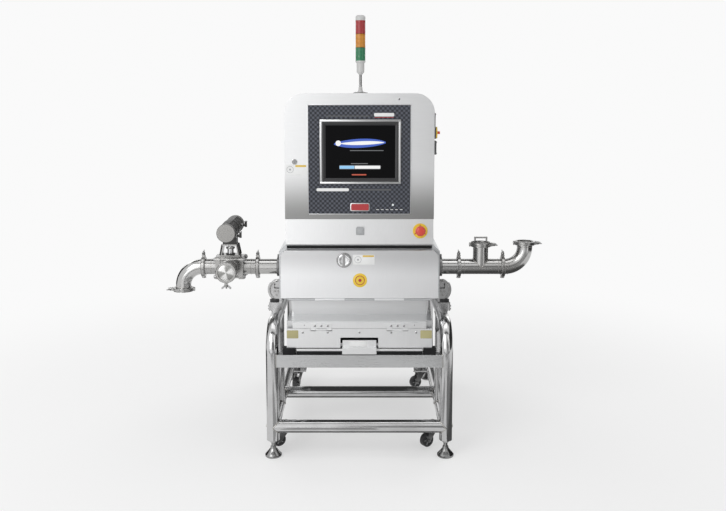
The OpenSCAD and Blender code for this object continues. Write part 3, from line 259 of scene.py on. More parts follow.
def rubber(name, colour, rough):
    """Matt rubber with pale dust in patches."""
    n = Surface(name)
    fine = n.noise(180.0, 4.0, 0.6)
    dust = n.span(n.noise(12.0, 4.0, 0.6), 0.45, 0.8, 0.0, 0.35)
    n.set(Base_Color=n.mix(dust, colour, tuple(min(1, c * 3 + 0.012) for c in colour)),
          Roughness=n.span(fine, 0.2, 0.8, rough - 0.08, rough + 0.1))
    return n.bump(fine, 0.18, 0.0006, 0.0015)


# Painted shade: the cabinet's colour darkens towards its foot, and the cover's towards its top, copying how
# the studio's light falls on them
CABINET_PAINTED_SHADE = ("Z", 0.94, 1.16, (0.22, 0.22, 0.215), 0.86)
COVER_PAINTED_SHADE = ("Z", 0.80, 0.70, (0.45, 0.45, 0.455), 0.52)
CAP_CENTRE = (-0.513, 0.718)  # X and Z of the valve's front port, in the frame
LOOKS = {
    "cabinet": brushed("cabinet_steel", (0.84, 0.845, 0.85), (0.78, 0.785, 0.79), 0.38, (1, 1, 26),
                       0.002, 0.86, CABINET_PAINTED_SHADE),
    "sheet": brushed("bright_sheet", (0.87, 0.875, 0.88), (0.81, 0.815, 0.82), 0.34, (26, 26, 1), metal=0.82),
    "cover": brushed("cover_sheet", (0.93, 0.935, 0.945), (0.88, 0.885, 0.895), 0.34, (24, 24, 1),
                     0.002, 0.82, COVER_PAINTED_SHADE),
    "base": brushed("base_sheet", (0.74, 0.745, 0.75), (0.66, 0.665, 0.67), 0.34, (1, 1, 26), metal=0.9),
    "inside": brushed("inner_sheet", (0.62, 0.63, 0.64), (0.5, 0.51, 0.52), 0.42, (1, 1, 20), 0.001),
    "beam": brushed("beam_steel", (0.66, 0.665, 0.67), (0.58, 0.585, 0.59), 0.28, (1, 1, 34), 0.002),
    "bracket": polished("bracket_steel", (0.58, 0.58, 0.585), (0.42, 0.42, 0.42), 0.24),
    "tube": polished("polished_frame_tube", (0.62, 0.62, 0.625), (0.47, 0.47, 0.47), 0.12),
    "pipe": polished("polished_pipe", (0.56, 0.56, 0.555), (0.42, 0.415, 0.405), 0.14),
    "fitting": polished("cast_fitting", (0.47, 0.47, 0.465), (0.34, 0.335, 0.325), 0.22),
    "turned_face_painted_reflection": turned("turned_face_painted_reflection", (0.78, 0.78, 0.77), (0.30, 0.30, 0.29), CAP_CENTRE),
    "foot": polished("foot_steel", (0.36, 0.36, 0.36), (0.22, 0.22, 0.22), 0.16),
    "latch": polished("latch_steel", (0.40, 0.40, 0.40), (0.26, 0.26, 0.26), 0.2),
    "chrome": polished("chrome", (0.82, 0.825, 0.83), (0.66, 0.66, 0.67), 0.1),
    "bolt": polished("bolt_steel", (0.50, 0.50, 0.50), (0.34, 0.34, 0.34), 0.24),
    "weld": polished("weld_bead", (0.6, 0.585, 0.55), (0.36, 0.35, 0.34), 0.36),
    "bezel": brushed("bezel_metal", (0.70, 0.705, 0.71), (0.52, 0.525, 0.53), 0.3, (30, 1, 30)),
    "foil": lattice("panel_foil"),
    "glass": plastic("screen_glass", (0.002, 0.002, 0.0025), 0.5, 300.0, 0.01),
    "bezel_side": plastic("bezel_coating", (0.030, 0.030, 0.031), 0.45, 240.0, 0.04),
    "black": plastic("black_plastic", (0.02, 0.02, 0.022)),
    "grey": plastic("grey_plastic", (0.11, 0.112, 0.115), 0.45),
    "midgrey": plastic("cap_plastic", (0.42, 0.43, 0.44), 0.5),
    # Grey in place of the signal tower's white housing: painted shade
    "tower": plastic("tower_plastic_painted_shade", (0.56, 0.56, 0.555), 0.3, depth=0.05),
    "white": plastic("white_plastic", (0.86, 0.86, 0.85), 0.35, depth=0.05),
    "plate": plastic("bare_plate", (0.84, 0.845, 0.84), 0.4, 200.0, 0.03),
    "yellow": plastic("safety_yellow", (0.86, 0.60, 0.045), 0.35, depth=0.06, coat=0.2),
    "amber_bar": plastic("plate_header", (0.72, 0.50, 0.08)),
    "olive": plastic("olive_plate", (0.44, 0.40, 0.20), 0.5),
    "red": plastic("button_red", (0.66, 0.06, 0.04), 0.32, depth=0.06, coat=0.3),
    "softred": plastic("disc_red", (0.46, 0.035, 0.04)),
    "lamp_red": lens("lens_red", (0.40, 0.016, 0.022)),
    "lamp_amber": lens("lens_amber", (0.66, 0.27, 0.015)),
    "lamp_green": lens("lens_green", (0.012, 0.21, 0.085)),
    "barrel": plastic("barrel_coating", (0.050, 0.049, 0.047), 0.42, 220.0, 0.12),
    "endcap": brushed("turned_cap", (0.36, 0.355, 0.345), (0.28, 0.275, 0.265), 0.4, (14, 1, 14), metal=0.8),
    "rubber": rubber("black_rubber", (0.010, 0.010, 0.011), 0.62),
    "tyre": rubber("wheel_rubber", (0.03, 0.03, 0.032), 0.55),
    "gasket": rubber("white_gasket", (0.72, 0.72, 0.70), 0.5),
    "caster": polished("zinc_fork", (0.27, 0.27, 0.27), (0.16, 0.16, 0.16), 0.30),
    "tank": brushed("tank_paint", (0.45, 0.47, 0.5), (0.38, 0.4, 0.43), 0.45, (8, 8, 8), 0.002, 0.3),
    "board": plastic("controller_case", (0.16, 0.19, 0.2), 0.5),
    "bar_blue": glow("bar_blue", (0.30, 0.62, 0.95), 0.95),
    "bar_white": glow("bar_white", (0.95, 0.95, 0.95), 0.95),
    "glow_blue": glow("glow_blue", (0.05, 0.13, 0.62), 0.85),
    "line_grey": glow("line_grey", (0.3, 0.31, 0.33), 0.5),
    "line_red": glow("line_red", (0.75, 0.12, 0.06), 0.7),
    "led": glow("status_led", (0.85, 0.9, 0.9), 0.9),
}
FINISH = {
    "tube": "hoop_* side_rail_* cross_tubes",
    "beam": "top_beams",
    "bolt": "foot_lock_nuts wing_nuts",
    "foot": "foot_front_* foot_rear_*",
    "fitting": "valve_body valve_yoke pipe_clamps blind_caps",
    "caster": "caster_fork_*",
    "tyre": "caster_wheel_*",
    "rubber": "beam_pads",
    "base": "base_box",
    "sheet": "access_flap flap_hinge drip_tray control_band rear_door",
    "cover": "front_cover",
    "inside": "chamber_shell cover_hinge",
    "bracket": "side_bracket_*",
    "cabinet": "cabinet_shell",
    "pipe": "inspection_pipe inlet_elbow outlet_elbow pipe_tee",
    "chrome": "rear_door_latch valve_rotor",
    "latch": "cover_latch key_lock",
    "black": "line_detector",
    "yellow": "estop_base",
    "red": "estop_button main_switch_knob",
    "midgrey": "port_cap",
    "foil": "panel_overlay",
    "bezel_side": "screen_bezel",
    "glass": "screen_glass",
    "grey": "side_boxes",
    "white": "signal_tower_lenses",
    "tower": "signal_tower_stem",
    "tank": "xray_generator",
    "board": "controller_unit",
    "barrel": "valve_actuator",
    "gasket": "gaskets",
}
for key, patterns in FINISH.items():
    for name in (n for pattern in patterns.split() for n in fnmatch.filter(nodes, pattern)):
        slots = nodes[name].data.materials
        if len(slots) == 0:
            slots.append(LOOKS[key])
        for i in range(len(slots)):
            slots[i] = LOOKS[key]
for key, level in (("glass", 0.08), ("rubber", 0.16)):
    LOOKS[key].node_tree.nodes["Principled BSDF"].inputs["Specular IOR Level"].default_value = level

# Places and turns
SIDES = (-1, 1)
FORWARD, BACK, UP, DOWN, RIGHT = (0, -1, 0), (0, 1, 0), (0, 0, 1), (0, 0, -1), (1, 0, 0)
CENTRE = Matrix.Translation((CX, 0, 0))


def P(x, y, z):
    """Machine millimetres (X from the centre plane, Y and Z of the frame) to metres."""
    return Vector((x / 1000 + CX, y / 1000, z / 1000))


def stand(x, y, z):
    """Upright place in machine millimetres."""
    return Matrix.Translation(P(x, y, z))


def shift(x, y=0.0, z=0.0):
    """Move by millimetres."""
    return Matrix.Translation(Vector((x, y, z)) / 1000)


def spin(degrees, axis):
    return Matrix.Rotation(radians(degrees), 4, axis)


def turn_to(axis, at):
    """Matrix that takes local +Z to axis and the local origin to at."""
    return Matrix.Translation(at) @ Vector(axis).to_track_quat("Z", "Y").to_matrix().to_4x4()


def circle(count, start=0.0):
    return [2 * pi * i / count + start for i in range(count)]


def rounded_outline(x, z, r, steps):
    """Points (x, z) round a rectangle with round corners."""
    (x0, x1), (z0, z1) = (x[0] + r, x[1] - r), (z[0] + r, z[1] - r)
    corners = ((x1, z1, 0), (x0, z1, 90), (x0, z0, 180), (x1, z0, 270))
    turns = [(cx, cz, radians(a + 90 * i / steps)) for cx, cz, a in corners for i in range(steps + 1)]
    return [(cx + r * cos(a), cz + r * sin(a)) for cx, cz, a in turns]


def reach(node, axis):
    """A node's lowest and highest place along an axis, in machine millimetres."""
    k = "XYZ".index(axis)
    centre = CX if axis == "X" else 0.0
    return [round((corner[k] - centre) * 1000, 2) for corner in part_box(node)]


def middle(node, axis):
    return sum(reach(node, axis)) / 2


def new_object(name, bm, material):
    mesh = bpy.data.meshes.new(name)
    bm.to_mesh(mesh)
    bm.free()
    mesh.materials.append(material)
    obj = bpy.data.objects.new(name, mesh)
    bpy.context.scene.collection.objects.link(obj)
    return obj


PIECES = []  # pieces that are begun and not yet made into objects


class Piece:
    """A small part of the scene, made in mesh code, that rides one CAD body."""

    def __init__(self, name, look, body="frame", smooth=40.0):
        self.name, self.look, self.body, self.smooth = name, look, body, smooth
        self.bm = bmesh.new()
        PIECES.append(self)

    def done(self):
        """Make the object, with its material, and let it ride its body."""
        PIECES.remove(self)
        bmesh.ops.recalc_face_normals(self.bm, faces=self.bm.faces[:])
        obj = new_object(self.name, self.bm, LOOKS[self.look])
        for face in obj.data.polygons:
            face.use_smooth = self.smooth > 0
        if self.smooth > 0:
            obj.data.set_sharp_from_angle(angle=radians(self.smooth))
        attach(obj, self.body)
        return obj

    def row(self, points):
        return [self.bm.verts.new(p) for p in points]

    def strip(self, a, b, closed=True):
        """Faces between two rows of points."""
        for i in range(len(a) if closed else len(a) - 1):
            j = (i + 1) % len(a)
            self.bm.faces.new((a[i], a[j], b[j], b[i]))

    def lathe(self, profile, matrix, seg=32, lobes=0, depth=0.0, phase=0.0):
        """Turned form from (radius, height) points in millimetres; lobes scallop its rim."""
        rings = []
        for radius, height in profile:
            points = []
            for a in circle(seg if radius else 1, phase):
                r = radius * (1 + depth * cos(lobes * a)) / 1000
                points.append(matrix @ Vector((r * cos(a), r * sin(a), height / 1000)))
            rings.append(self.row(points))
        for a, b in zip(rings, rings[1:]):
            for i in range(seg if len(a) + len(b) > 2 else 0):
                j = (i + 1) % seg
                corners = (a[i % len(a)], a[j % len(a)], b[j % len(b)], b[i % len(b)])
                self.bm.faces.new(tuple(dict.fromkeys(corners)))
        for ring in (rings[0], rings[-1]):
            if len(ring) > 1:
                self.bm.faces.new(ring)
        return self

    def box(self, lo, hi, bevel=0.0, matrix=CENTRE):
        """Box with rounded edges between two corners, in millimetres along the matrix's axes."""
        verts = bmesh.ops.create_cube(self.bm, size=1.0)["verts"]
        for v in verts:
            v.co = [((a + b) / 2 + c * abs(b - a)) / 1000 for a, b, c in zip(lo, hi, v.co)]
        if bevel:
            edges = list({e for v in verts for e in v.link_edges})
            made = bmesh.ops.bevel(self.bm, geom=edges, offset=bevel / 1000, segments=2,
                                   affect="EDGES", profile=0.5)
            verts = {v for f in made["faces"] for v in f.verts} | {v for v in verts if v.is_valid}
        for v in verts:
            v.co = matrix @ v.co
        return self

    def block(self, x, y, z, bevel=0.6):
        """Rounded box from machine millimetre spans."""
        return self.box(*zip(x, y, z), bevel)

    def tube(self, points, radius, seg=8, closed=False, ripple=0.0):
        """Round bar along points in metres; its radius is in millimetres."""
        rings, up, count = [], None, len(points)
        for i, p in enumerate(points):
            a = points[i - 1] if closed or i else p
            b = points[(i + 1) % count] if closed or i < count - 1 else p
            along = (b - a).normalized()
            up = up or along.orthogonal().normalized()
            up = (up - along * up.dot(along)).normalized()
            side = along.cross(up)
            r = radius / 1000 * (1 + ripple * sin(i * 2.1))
            rings.append(self.row([p + (up * cos(t) + side * sin(t)) * r for t in circle(seg)]))
        for a, b in zip(rings, rings[1:]):
            self.strip(a, b)
        first, last = rings[0], rings[-1]
        if closed:
            # The first ring is turned to where the last one ends
            off = min(range(seg), key=lambda i: (last[0].co - first[i].co).length)
            self.strip(last, first[off:] + first[:off])
        else:
            self.bm.faces.new(first)
            self.bm.faces.new(last)
        return self

    def ring(self, centre, axis, radius, bead, steps=40, seg=8, ripple=0.0):
        """Round bead along a circle; its radii are in millimetres."""
        turn, r = turn_to(axis, centre), radius / 1000
        return self.tube([turn @ Vector((r * cos(t), r * sin(t), 0)) for t in circle(steps)],
                         bead, seg, True, ripple)

    def bolt(self, at, axis, size, head=4.0, turn=0.0):
        """Hexagon head with a chamfered crown on a washer."""
        m = turn_to(axis, at) @ Matrix.Rotation(turn, 4, "Z")
        self.lathe([(size * 0.62, 0), (size * 0.62, 0.8), (size * 0.3, 0.8)], m, 24)
        crown = [(size * 0.57, 0.8), (size * 0.57, head * 0.82), (size * 0.47, head), (size * 0.2, head)]
        return self.lathe(crown, m, 6)

    def screw(self, at, axis, size):
        """Domed screw head."""
        r = size / 2
        dome = [(r, 0), (r, 0.5), (r * 0.92, 1.3), (r * 0.7, 2.0), (r * 0.35, 2.3), (0, 2.35)]
        return self.lathe(dome, turn_to(axis, at), 20)

    def cross(self, at, axis, size, turn):
        """Cross recess in the crown of a domed screw, as black bars: painted shade of the recess."""
        for quarter in (0, 90):
            m = turn_to(axis, at) @ Matrix.Rotation(turn, 4, "Z") @ spin(quarter, "Z")
            self.box((-size * 0.24, -0.4, 1.8), (size * 0.24, 0.4, 2.45), 0, m)
        return self

    def saddle(self, centre, main, branch, radius, bead=2.0, steps=44):
        """Weld bead where two tubes of one radius meet."""
        main, branch = Vector(main), Vector(branch)
        side = branch.cross(main)
        wide = radius + 0.6
        points = []
        for t in circle(steps):
            rise = branch * (radius * abs(sin(t)) + 0.4)
            points.append(centre + (rise + main * wide * sin(t) + side * wide * cos(t)) / 1000)
        return self.tube(points, bead, 8, True, 0.16)

    def pill(self, x, y, z, r=None, bulge=0.0):
        """Flat plate with round corners, y = (front, back), its face crowned by bulge."""
        size = min(x[1] - x[0], z[1] - z[0])
        outline = rounded_outline(x, z, size / 2 if r is None else r, 10)
        cx, cz, k = sum(x) / 2, sum(z) / 2, 0.7 / max(size, 1)
        back = self.row([P(px, y[1], pz) for px, pz in outline])
        rim = self.row([P(px, y[0] + 0.25, pz) for px, pz in outline])
        face = self.row([P(px + (cx - px) * k, y[0] - bulge, pz + (cz - pz) * k) for px, pz in outline])
        self.strip(back, rim)
        self.strip(rim, face)
        self.bm.faces.new(face)
        self.bm.faces.new(back)
        return self


def plate(name, look, face, x, z, out, deep, r=None, bulge=0.0, body="frame"):
    """Plate that stands out of a face by one amount and goes into it by another."""
    Piece(name, look, body, 35).pill(x, (face - out, face + deep), z, r, bulge)


# Places in machine millimetres, taken from the frame
LEG, FRONT = middle("foot_front_right", "X"), middle("foot_front_right", "Y")
REAR = middle("foot_rear_right", "Y")
MID, POST = FRONT + 400, FRONT + 250
RAIL = middle("cross_tubes", "Z")
TUBE = reach("cross_tubes", "Z")[1] - RAIL
HOOP = reach("hoop_right", "Z")[1] - TUBE
low, high = reach("top_beams", "Z")
half = FRONT - reach("top_beams", "Y")[0]
BEAM_CORNERS = [(-half, low), (half, low), (half, high), (-half, high)]
CASTER_X, CASTER_Y = 300, {"front": -380, "rear": 335}
CABINET_Y = reach("cabinet_shell", "Y")[0]
BAND_LOW = reach("control_band", "Z")[0]
COVER_Y = reach("front_cover", "Y")[0]
FLAP_Y = reach("access_flap", "Y")[0] + 2.5  # the bosses of its screws stand out by 2.5
FOIL_Y = reach("panel_overlay", "Y")[0]
GLASS_Y = reach("screen_glass", "Y")[0]
DOOR_Y = reach("rear_door", "Y")[1]
PIPE_Y, PIPE_Z, PIPE_R = middle("inspection_pipe", "Y"), middle("inspection_pipe", "Z"), 31.75
VALVE_X = middle("valve_rotor", "X")
CHAMBER_X, CHAMBER_Y = reach("chamber_shell", "X")[1], reach("chamber_shell", "Y")[0]
BASE_X, BASE_Y = reach("base_box", "X")[1], reach("base_box", "Y")[1]
BOX_X, CONTROLLER_Y = reach("side_boxes", "X")[1], reach("controller_unit", "Y")[1]
SWITCH_Y, SWITCH_Z = middle("main_switch_knob", "Y"), middle("main_switch_knob", "Z")
LOCK_X, PORT_X = middle("key_lock", "X"), middle("port_cap", "X")
BUTTON_X = reach("estop_base", "X")[1] - 30  # the ring's radius is 30
DOOR_LATCH_X, DOOR_LATCH_Z = middle("rear_door_latch", "X"), 1185
BRACKET_Y = -268  # front of the brackets' round body
TEE_X = 505.5

# Frame: weld beads and bolts
welds = Piece("frame_welds", "weld", smooth=70)
for s in SIDES:
    inward = (-s, 0, 0)
    for y, z, main, branch in (
        (FRONT, RAIL, UP, inward), (MID, RAIL, BACK, inward), (REAR, RAIL, UP, inward),
        (FRONT, RAIL, UP, BACK), (REAR, RAIL, UP, FORWARD),
        (POST, RAIL, BACK, UP), (POST, HOOP, BACK, DOWN),
    ):
        welds.saddle(P(s * LEG, y, z), main, branch, TUBE)
    # Fillet beads round the ends of both rectangular beams
    for y in (FRONT, REAR):
        points = []
        for (y0, z0), (y1, z1) in zip(BEAM_CORNERS, BEAM_CORNERS[1:] + BEAM_CORNERS[:1]):
            lift = 0.6 if z1 > z0 else -0.2
            for f in (i / 10 for i in range(10)):
                dy = y0 + (y1 - y0) * f
                x = s * (LEG - sqrt(TUBE ** 2 - dy ** 2) - 0.3)
                points.append(P(x, y + dy * 1.03, z0 + (z1 - z0) * f + lift))
        welds.tube(points, 1.7, 8, True, 0.14)

bolts = Piece("frame_bolts", "bolt")
for s, y, dx, dy in product(SIDES, CASTER_Y.values(), (-20.16, 7.2), (-31, 31)):
    bolts.bolt(P(s * (CASTER_X + dx), y + dy, 91.6), DOWN, 7)
for s, z in product(SIDES, (548, 560)):
    bolts.bolt(P(s * 376.4, -266, z), (s, 0, 0), 7, 4, 0.3)

# Operator panel: trim round the foil, bars round the screen, sloped inner frame
trim = Piece("panel_trim", "bezel")
for x in ((-206, -203.4), (203.4, 206)):
    trim.block(x, (FOIL_Y - 1.2, FOIL_Y + 0.6), (954.6, 1393.4), 0.4)
for z in ((954.6, 957.2), (1390.8, 1393.4)):
    trim.block((-206, 206), (FOIL_Y - 1.2, FOIL_Y + 0.6), z, 0.4)

BEZEL_Y = reach("screen_bezel", "Y")[0]
x0, x1 = reach("screen_bezel", "X")
z0, z1 = reach("screen_bezel", "Z")
bars = Piece("bezel_bars", "bezel")
for z in ((z0, z0 + 8), (z1 - 8, z1)):
    bars.block((x0, x1), (BEZEL_Y - 0.7, BEZEL_Y + 0.2), z, 0.3)
for x in ((x0, x0 + 9), (x1 - 9, x1)):
    bars.block(x, (BEZEL_Y - 0.7, BEZEL_Y + 0.2), (z0 + 8, z1 - 8), 0.3)

slope = Piece("screen_inner_frame", "black", smooth=0)
rows = []
for y, inset in ((BEZEL_Y + 0.5, 16), (GLASS_Y - 0.4, 23), (GLASS_Y, 23), (GLASS_Y, 16)):
    left, right, low, high = x0 + inset, x1 - inset, z0 + inset, z1 - inset
    rows.append(slope.row([P(left, y, low), P(right, y, low), P(right, y, high), P(left, y, high)]))
for a, b in zip(rows, rows[1:] + rows[:1]):
    slope.strip(a, b)

# Screen: plain bars and a start picture of a blue halo, a pale swept band and a round spot
for name, look, x, z, out, r in (
    ("bar_filled", "bar_blue", (-79, -20), (1138.5, 1150.5), 0.35, 1.5),
    ("bar_rest", "bar_white", (-19.6, 83), (1138.5, 1150.5), 0.35, 1.5),
    ("bar_rim", "line_grey", (-81, 85), (1136.5, 1152.5), 0.2, 3),
    ("bar_caption", "line_grey", (-34, 34), (1157.5, 1160.5), 0.25, None),
    ("screen_line_red", "line_red", (-31, 28), (1112, 1117), 0.25, None),
    ("screen_line_low", "line_grey", (-38, 96), (1209.5, 1212.5), 0.25, None),
):
    plate(name, look, GLASS_Y, x, z, out, 0.2, r)


def swoosh(piece, cx, cz, length, height, lean, y, steps=40):
    """Long pointed band, y = (front, back), that leans from its left to its right end."""
    top, low = [], []
    for f in (i / steps for i in range(steps + 1)):
        x = cx + (f - 0.5) * length
        w = height / 2 * sin(pi * min(max(f, 0.012), 0.988)) ** 0.55
        z = cz + lean * sin((f - 0.5) * pi)
        top.append((x + w * 0.25, z + w))
        low.append((x - w * 0.25, z - w))
    front, back = (piece.row([P(px, side, pz) for px, pz in top + low[::-1]]) for side in y)
    piece.strip(front, back)
    n = len(front)
    for i, ring in product(range(steps), (front, back)):
        piece.bm.faces.new((ring[i], ring[i + 1], ring[n - 2 - i], ring[n - 1 - i]))


halo = Piece("start_halo", "glow_blue", smooth=30)
swoosh(halo, 2, 1240, 205, 36, 2.5, (GLASS_Y - 0.3, GLASS_Y + 0.2))
band = Piece("start_band", "bar_white", smooth=30)
swoosh(band, 12, 1241, 172, 15, 2.0, (GLASS_Y - 0.6, GLASS_Y - 0.1))
band.lathe([(11, 0), (11, 0.5), (10, 0.7), (0, 0.7)], turn_to(FORWARD, P(-84, GLASS_Y - 0.1, 1240)))

# Lamp and marks round the screen, all plain
plate("panel_lamp_rim", "bezel", FOIL_Y, (-37, 41), (967.5, 1000.5), 1.0, 0.3, 7, 0.2)
plate("panel_lamp", "softred", FOIL_Y, (-33.5, 37.5), (971, 997), 1.9, -0.5, 5, 0.6)
led = Piece("status_led", "led")
led.lathe([(4.2, 0), (4.2, 1.0), (3.0, 1.6), (0, 2.0)], turn_to(FORWARD, P(134, FOIL_Y, 993)), 24)
dashes = Piece("panel_dashes", "plate", smooth=35)
for x in range(67, 163, 19):
    dashes.pill((x, x + 11), (FOIL_Y - 0.3, FOIL_Y + 0.3), (972.8, 975.2), 1.0)
for name, look, x, z, out, r in (
    ("panel_bar_low", "plate", (-172, -42), (1048, 1060), 0.35, 5),
    ("panel_bar_side", "grey", (-30, 128), (1051, 1056), 0.3, 2.4),
    ("panel_bar_top", "plate", (58, 138), (1346, 1360), 0.35, 5),
    ("panel_bar_top_red", "softred", (60, 136), (1341.5, 1343.6), 0.45, 1),
    ("panel_line_top", "grey", (-134, 40), (1346, 1349.4), 0.25, 1.6),
):
    plate(name, look, FOIL_Y, x, z, out, 0.3, r)

# Cabinet front: a screw, the rosette of the key lock, bare plates here and on the cover
at = P(157, CABINET_Y, 1415)
Piece("cabinet_screw", "bolt").screw(at, FORWARD, 9)
# Black cross in the screw's crown: painted shade of its recess
Piece("cabinet_screw_slot_painted_shade", "black", smooth=0).cross(at, FORWARD, 9, 0.5)
Piece("lock_rosette", "chrome").ring(P(LOCK_X, CABINET_Y - 0.8, 1166), FORWARD, 10.4, 1.1)
plate("side_plate", "plate", CABINET_Y, (-294, -209), (1114, 1155), 0.9, 0.3, 2.5)
plate("side_plate_bar", "amber_bar", CABINET_Y, (-256, -213), (1145, 1153), 1.2, -0.6, 0.8)
plate("cover_plate", "plate", COVER_Y, (-27, 61), (756, 796), 0.9, 0.2, 2.5, 0, "front_cover")
plate("cover_plate_bar", "amber_bar", COVER_Y, (13, 58), (787, 794), 1.2, -0.6, 0.8, 0, "front_cover")
for name, body, x, y, z in (
    ("side_plate_ring", "frame", -277, CABINET_Y, 1135),
    ("cover_plate_ring", "front_cover", -6, COVER_Y, 776),
):
    mark = Piece(name, "midgrey", body).ring(P(x, y - 1.0, z), FORWARD, 13, 0.8)
    mark.lathe([(4, 0), (4, 0.5), (0, 0.6)], turn_to(FORWARD, P(x, y - 0.9, z)), 24)

# Cover: plain disc, welded edges, grip and collar of the latch
DISC_X, DISC_Z, LATCH_X, LATCH_Z = 2, 692, -62, 774
disc = Piece("cover_disc", "yellow", "front_cover")
disc.lathe([(28.5, 0), (28.5, 0.7), (28.0, 1.0), (0, 1.0)], turn_to(FORWARD, P(DISC_X, COVER_Y, DISC_Z)), 64)
mark = Piece("cover_disc_ring", "softred", "front_cover")
mark.ring(P(DISC_X, COVER_Y - 1.0, DISC_Z), FORWARD, 18, 1.4, 56)
mark.lathe([(6.5, 0), (6.5, 0.6), (6, 0.9), (0, 1.0)], turn_to(FORWARD, P(DISC_X, COVER_Y - 0.9, DISC_Z)))
edges = Piece("cover_edge_welds", "cover", "front_cover")
for s in SIDES:
    route = ((316.2, 619), (316.2, 700), (316.2, 793), (298.5, 810.6), (150, 811), (0, 811))
    edges.tube([P(s * x, COVER_Y + 0.6, z) for x, z in route], 1.0)
grip = Piece("latch_grip", "chrome", "cover_latch")
grip.lathe([(25.5, 4.2), (25.5, 7.0), (24, 8.6), (17, 9.4), (15, 8.4), (14, 6), (0, 5.4)],
           turn_to(FORWARD, P(LATCH_X, COVER_Y, LATCH_Z)), 72, 3, 0.035, 0.4)
collar = Piece("latch_collar", "bolt", "front_cover")
collar.ring(P(LATCH_X, COVER_Y - 0.6, LATCH_Z), FORWARD, 29.4, 1.3, 64, 10)

# Chamber: dark strip along its top edge, a painted shadow of the gap between cover and band, and the soft
# seal on its front
strip = Piece("chamber_top_painted_shadow", "rubber")
strip.block((-292, 292), (CHAMBER_Y - 1.3, CHAMBER_Y + 0.2), (817.5, 830))
outline = rounded_outline((-306, 306), (631, 808), 6, 6)
Piece("chamber_seal", "rubber").tube([P(x, CHAMBER_Y - 0.7, z) for x, z in outline], 1.7, 8, True)

# Flap: screws with cross recesses, drawn black as painted shade, plates, and the screws of its hinge strip
FLAP_SCREW_Z, HINGE_SCREW_Z = 506.8, 534
screws = Piece("flap_screws", "bolt", "access_flap")
slots = Piece("flap_screw_slots_painted_shade", "black", "access_flap", 0)
for i, x in enumerate((-222, -124, 0, 124, 222)):
    at = P(x, FLAP_Y - 2.4, FLAP_SCREW_Z)
    screws.screw(at, FORWARD, 8)
    slots.cross(at, FORWARD, 8, 0.4 * i)
for side, x in (("left", (-284, -239)), ("right", (239, 284))):
    plate(f"flap_plate_{side}", "olive", FLAP_Y, x, (483, 515), 0.8, 0.2, 3, 0, "access_flap")
screws = Piece("hinge_screws", "bolt")
slots = Piece("hinge_screw_slots_painted_shade", "black", smooth=0)
for s in SIDES:
    for i in (-1, 0, 1):
        at = P(s * 149 + i * 25, FLAP_Y - 3.9, HINGE_SCREW_Z)
        screws.screw(at, FORWARD, 9)
        slots.cross(at, FORWARD, 9, 0.7 * i + 0.2)
    screws.screw(P(s * 215, FLAP_Y, HINGE_SCREW_Z + 2), FORWARD, 5)

# Tray: plain plate on its upright, rounded lip of its handle
plate("tray_plate", "plate", FLAP_Y, (-40, 30), (452, 474), 6.7, -5.9, 1.5, 0, "drip_tray")
lip = Piece("tray_lip", "sheet", "drip_tray")
lip.tube([P(x, FLAP_Y - 22.2, 426.4) for x in (-66, 0, 66)], 1.7, 10)

# Controls on the sloped band, which leans back by 10 over its height
BAND_SLOPE = 10 / 101.5
TILT = atan(10 / 102)
BUTTON_Z = 888
band_y = CABINET_Y - BAND_SLOPE * (BAND_LOW + 101.5 - BUTTON_Z)
button = turn_to((0, -cos(TILT), sin(TILT)), P(BUTTON_X, band_y, BUTTON_Z))
# Lobed mushroom head on a round skirt
head = Piece("estop_head", "red", "estop_button", 50)
head.lathe([(0, 17.3), (19.5, 17.3), (20, 18.2), (20, 21)], button, 72)
head.lathe([(20, 21), (19.6, 24), (17.5, 28.5), (13.5, 31.0), (7, 31.8), (0, 32.0)], button, 72, 6, 0.045)
stem = Piece("estop_stem", "grey", "estop_button").lathe([(5.9, -14), (5.9, 18), (0, 18)], button)
for part in (head.done(), stem.done()):
    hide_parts("estop_button")
marks = Piece("estop_marks", "softred")
for degrees in (90, 210, 330):
    turn = button @ spin(degrees, "Z")
    marks.box((20.5, -1.1, 2.7), (27.5, 1.1, 3.4), 0.3, turn)
    marks.box((20.5, -3.0, 2.7), (22.5, 3.0, 3.4), 0.3, turn)

# Service port: frame round the cap and a finger tab on it
flat = stand(PORT_X, band_y, BUTTON_Z) @ Matrix.Rotation(pi / 2 - TILT, 4, "X")
port = Piece("port_frame", "midgrey")
for x, y in (
    ((-16.5, -14.2), (-16.5, 13.5)),
    ((14.2, 16.5), (-16.5, 13.5)),
    ((-14.2, 14.2), (-16.5, -14.4)),
):
    port.box(*zip(x, y, (0, 2.2)), 0.4, flat)
tab = Piece("port_cap_tab", "midgrey", "port_cap")
tab.box((-6, -13.0, 4.2), (6, -9.8, 5.6), 0.5, flat)
tab.box((-9.5, -8.5, 4.2), (9.5, 10.0, 4.7), 0.4, flat)

# Boxes on the side wall: the switch's yellow plate, screws and faces
switch = turn_to(RIGHT, P(BOX_X - 2, SWITCH_Y, SWITCH_Z))
yellow = Piece("switch_plate", "yellow")
yellow.lathe([(23, 0), (23, 0.8), (22, 1.2), (19, 1.2)], switch, 48)
ys, zs = (SWITCH_Y - 23.5, SWITCH_Y + 23.5), (SWITCH_Z - 22, SWITCH_Z + 14.5)
yellow.block((BOX_X - 2.4, BOX_X - 1.7), ys, zs, 0.3)
yellow.lathe([(20.6, 1.0), (23.6, 1.0), (23.6, 5.2), (22.8, 6.0), (20.6, 6.0)], switch, 48)
screws = Piece("side_box_screws", "bolt")
for x, ys, zs in ((BOX_X - 5, (-319, -261), (1302, 1354)), (BOX_X, (-315, -270), (1198, 1242))):
    for z, y in product(zs, ys):
        screws.screw(P(x, y, z), RIGHT, 6)
faces = Piece("side_box_faces", "black")
for z in range(1206, 1242, 9):
    faces.block((BOX_X, BOX_X + 0.8), (-308, -277), (z, z + 4), 0.4)
faces.block((BOX_X - 5, BOX_X - 4.2), (-312, -268), (1310, 1346), 0.5)

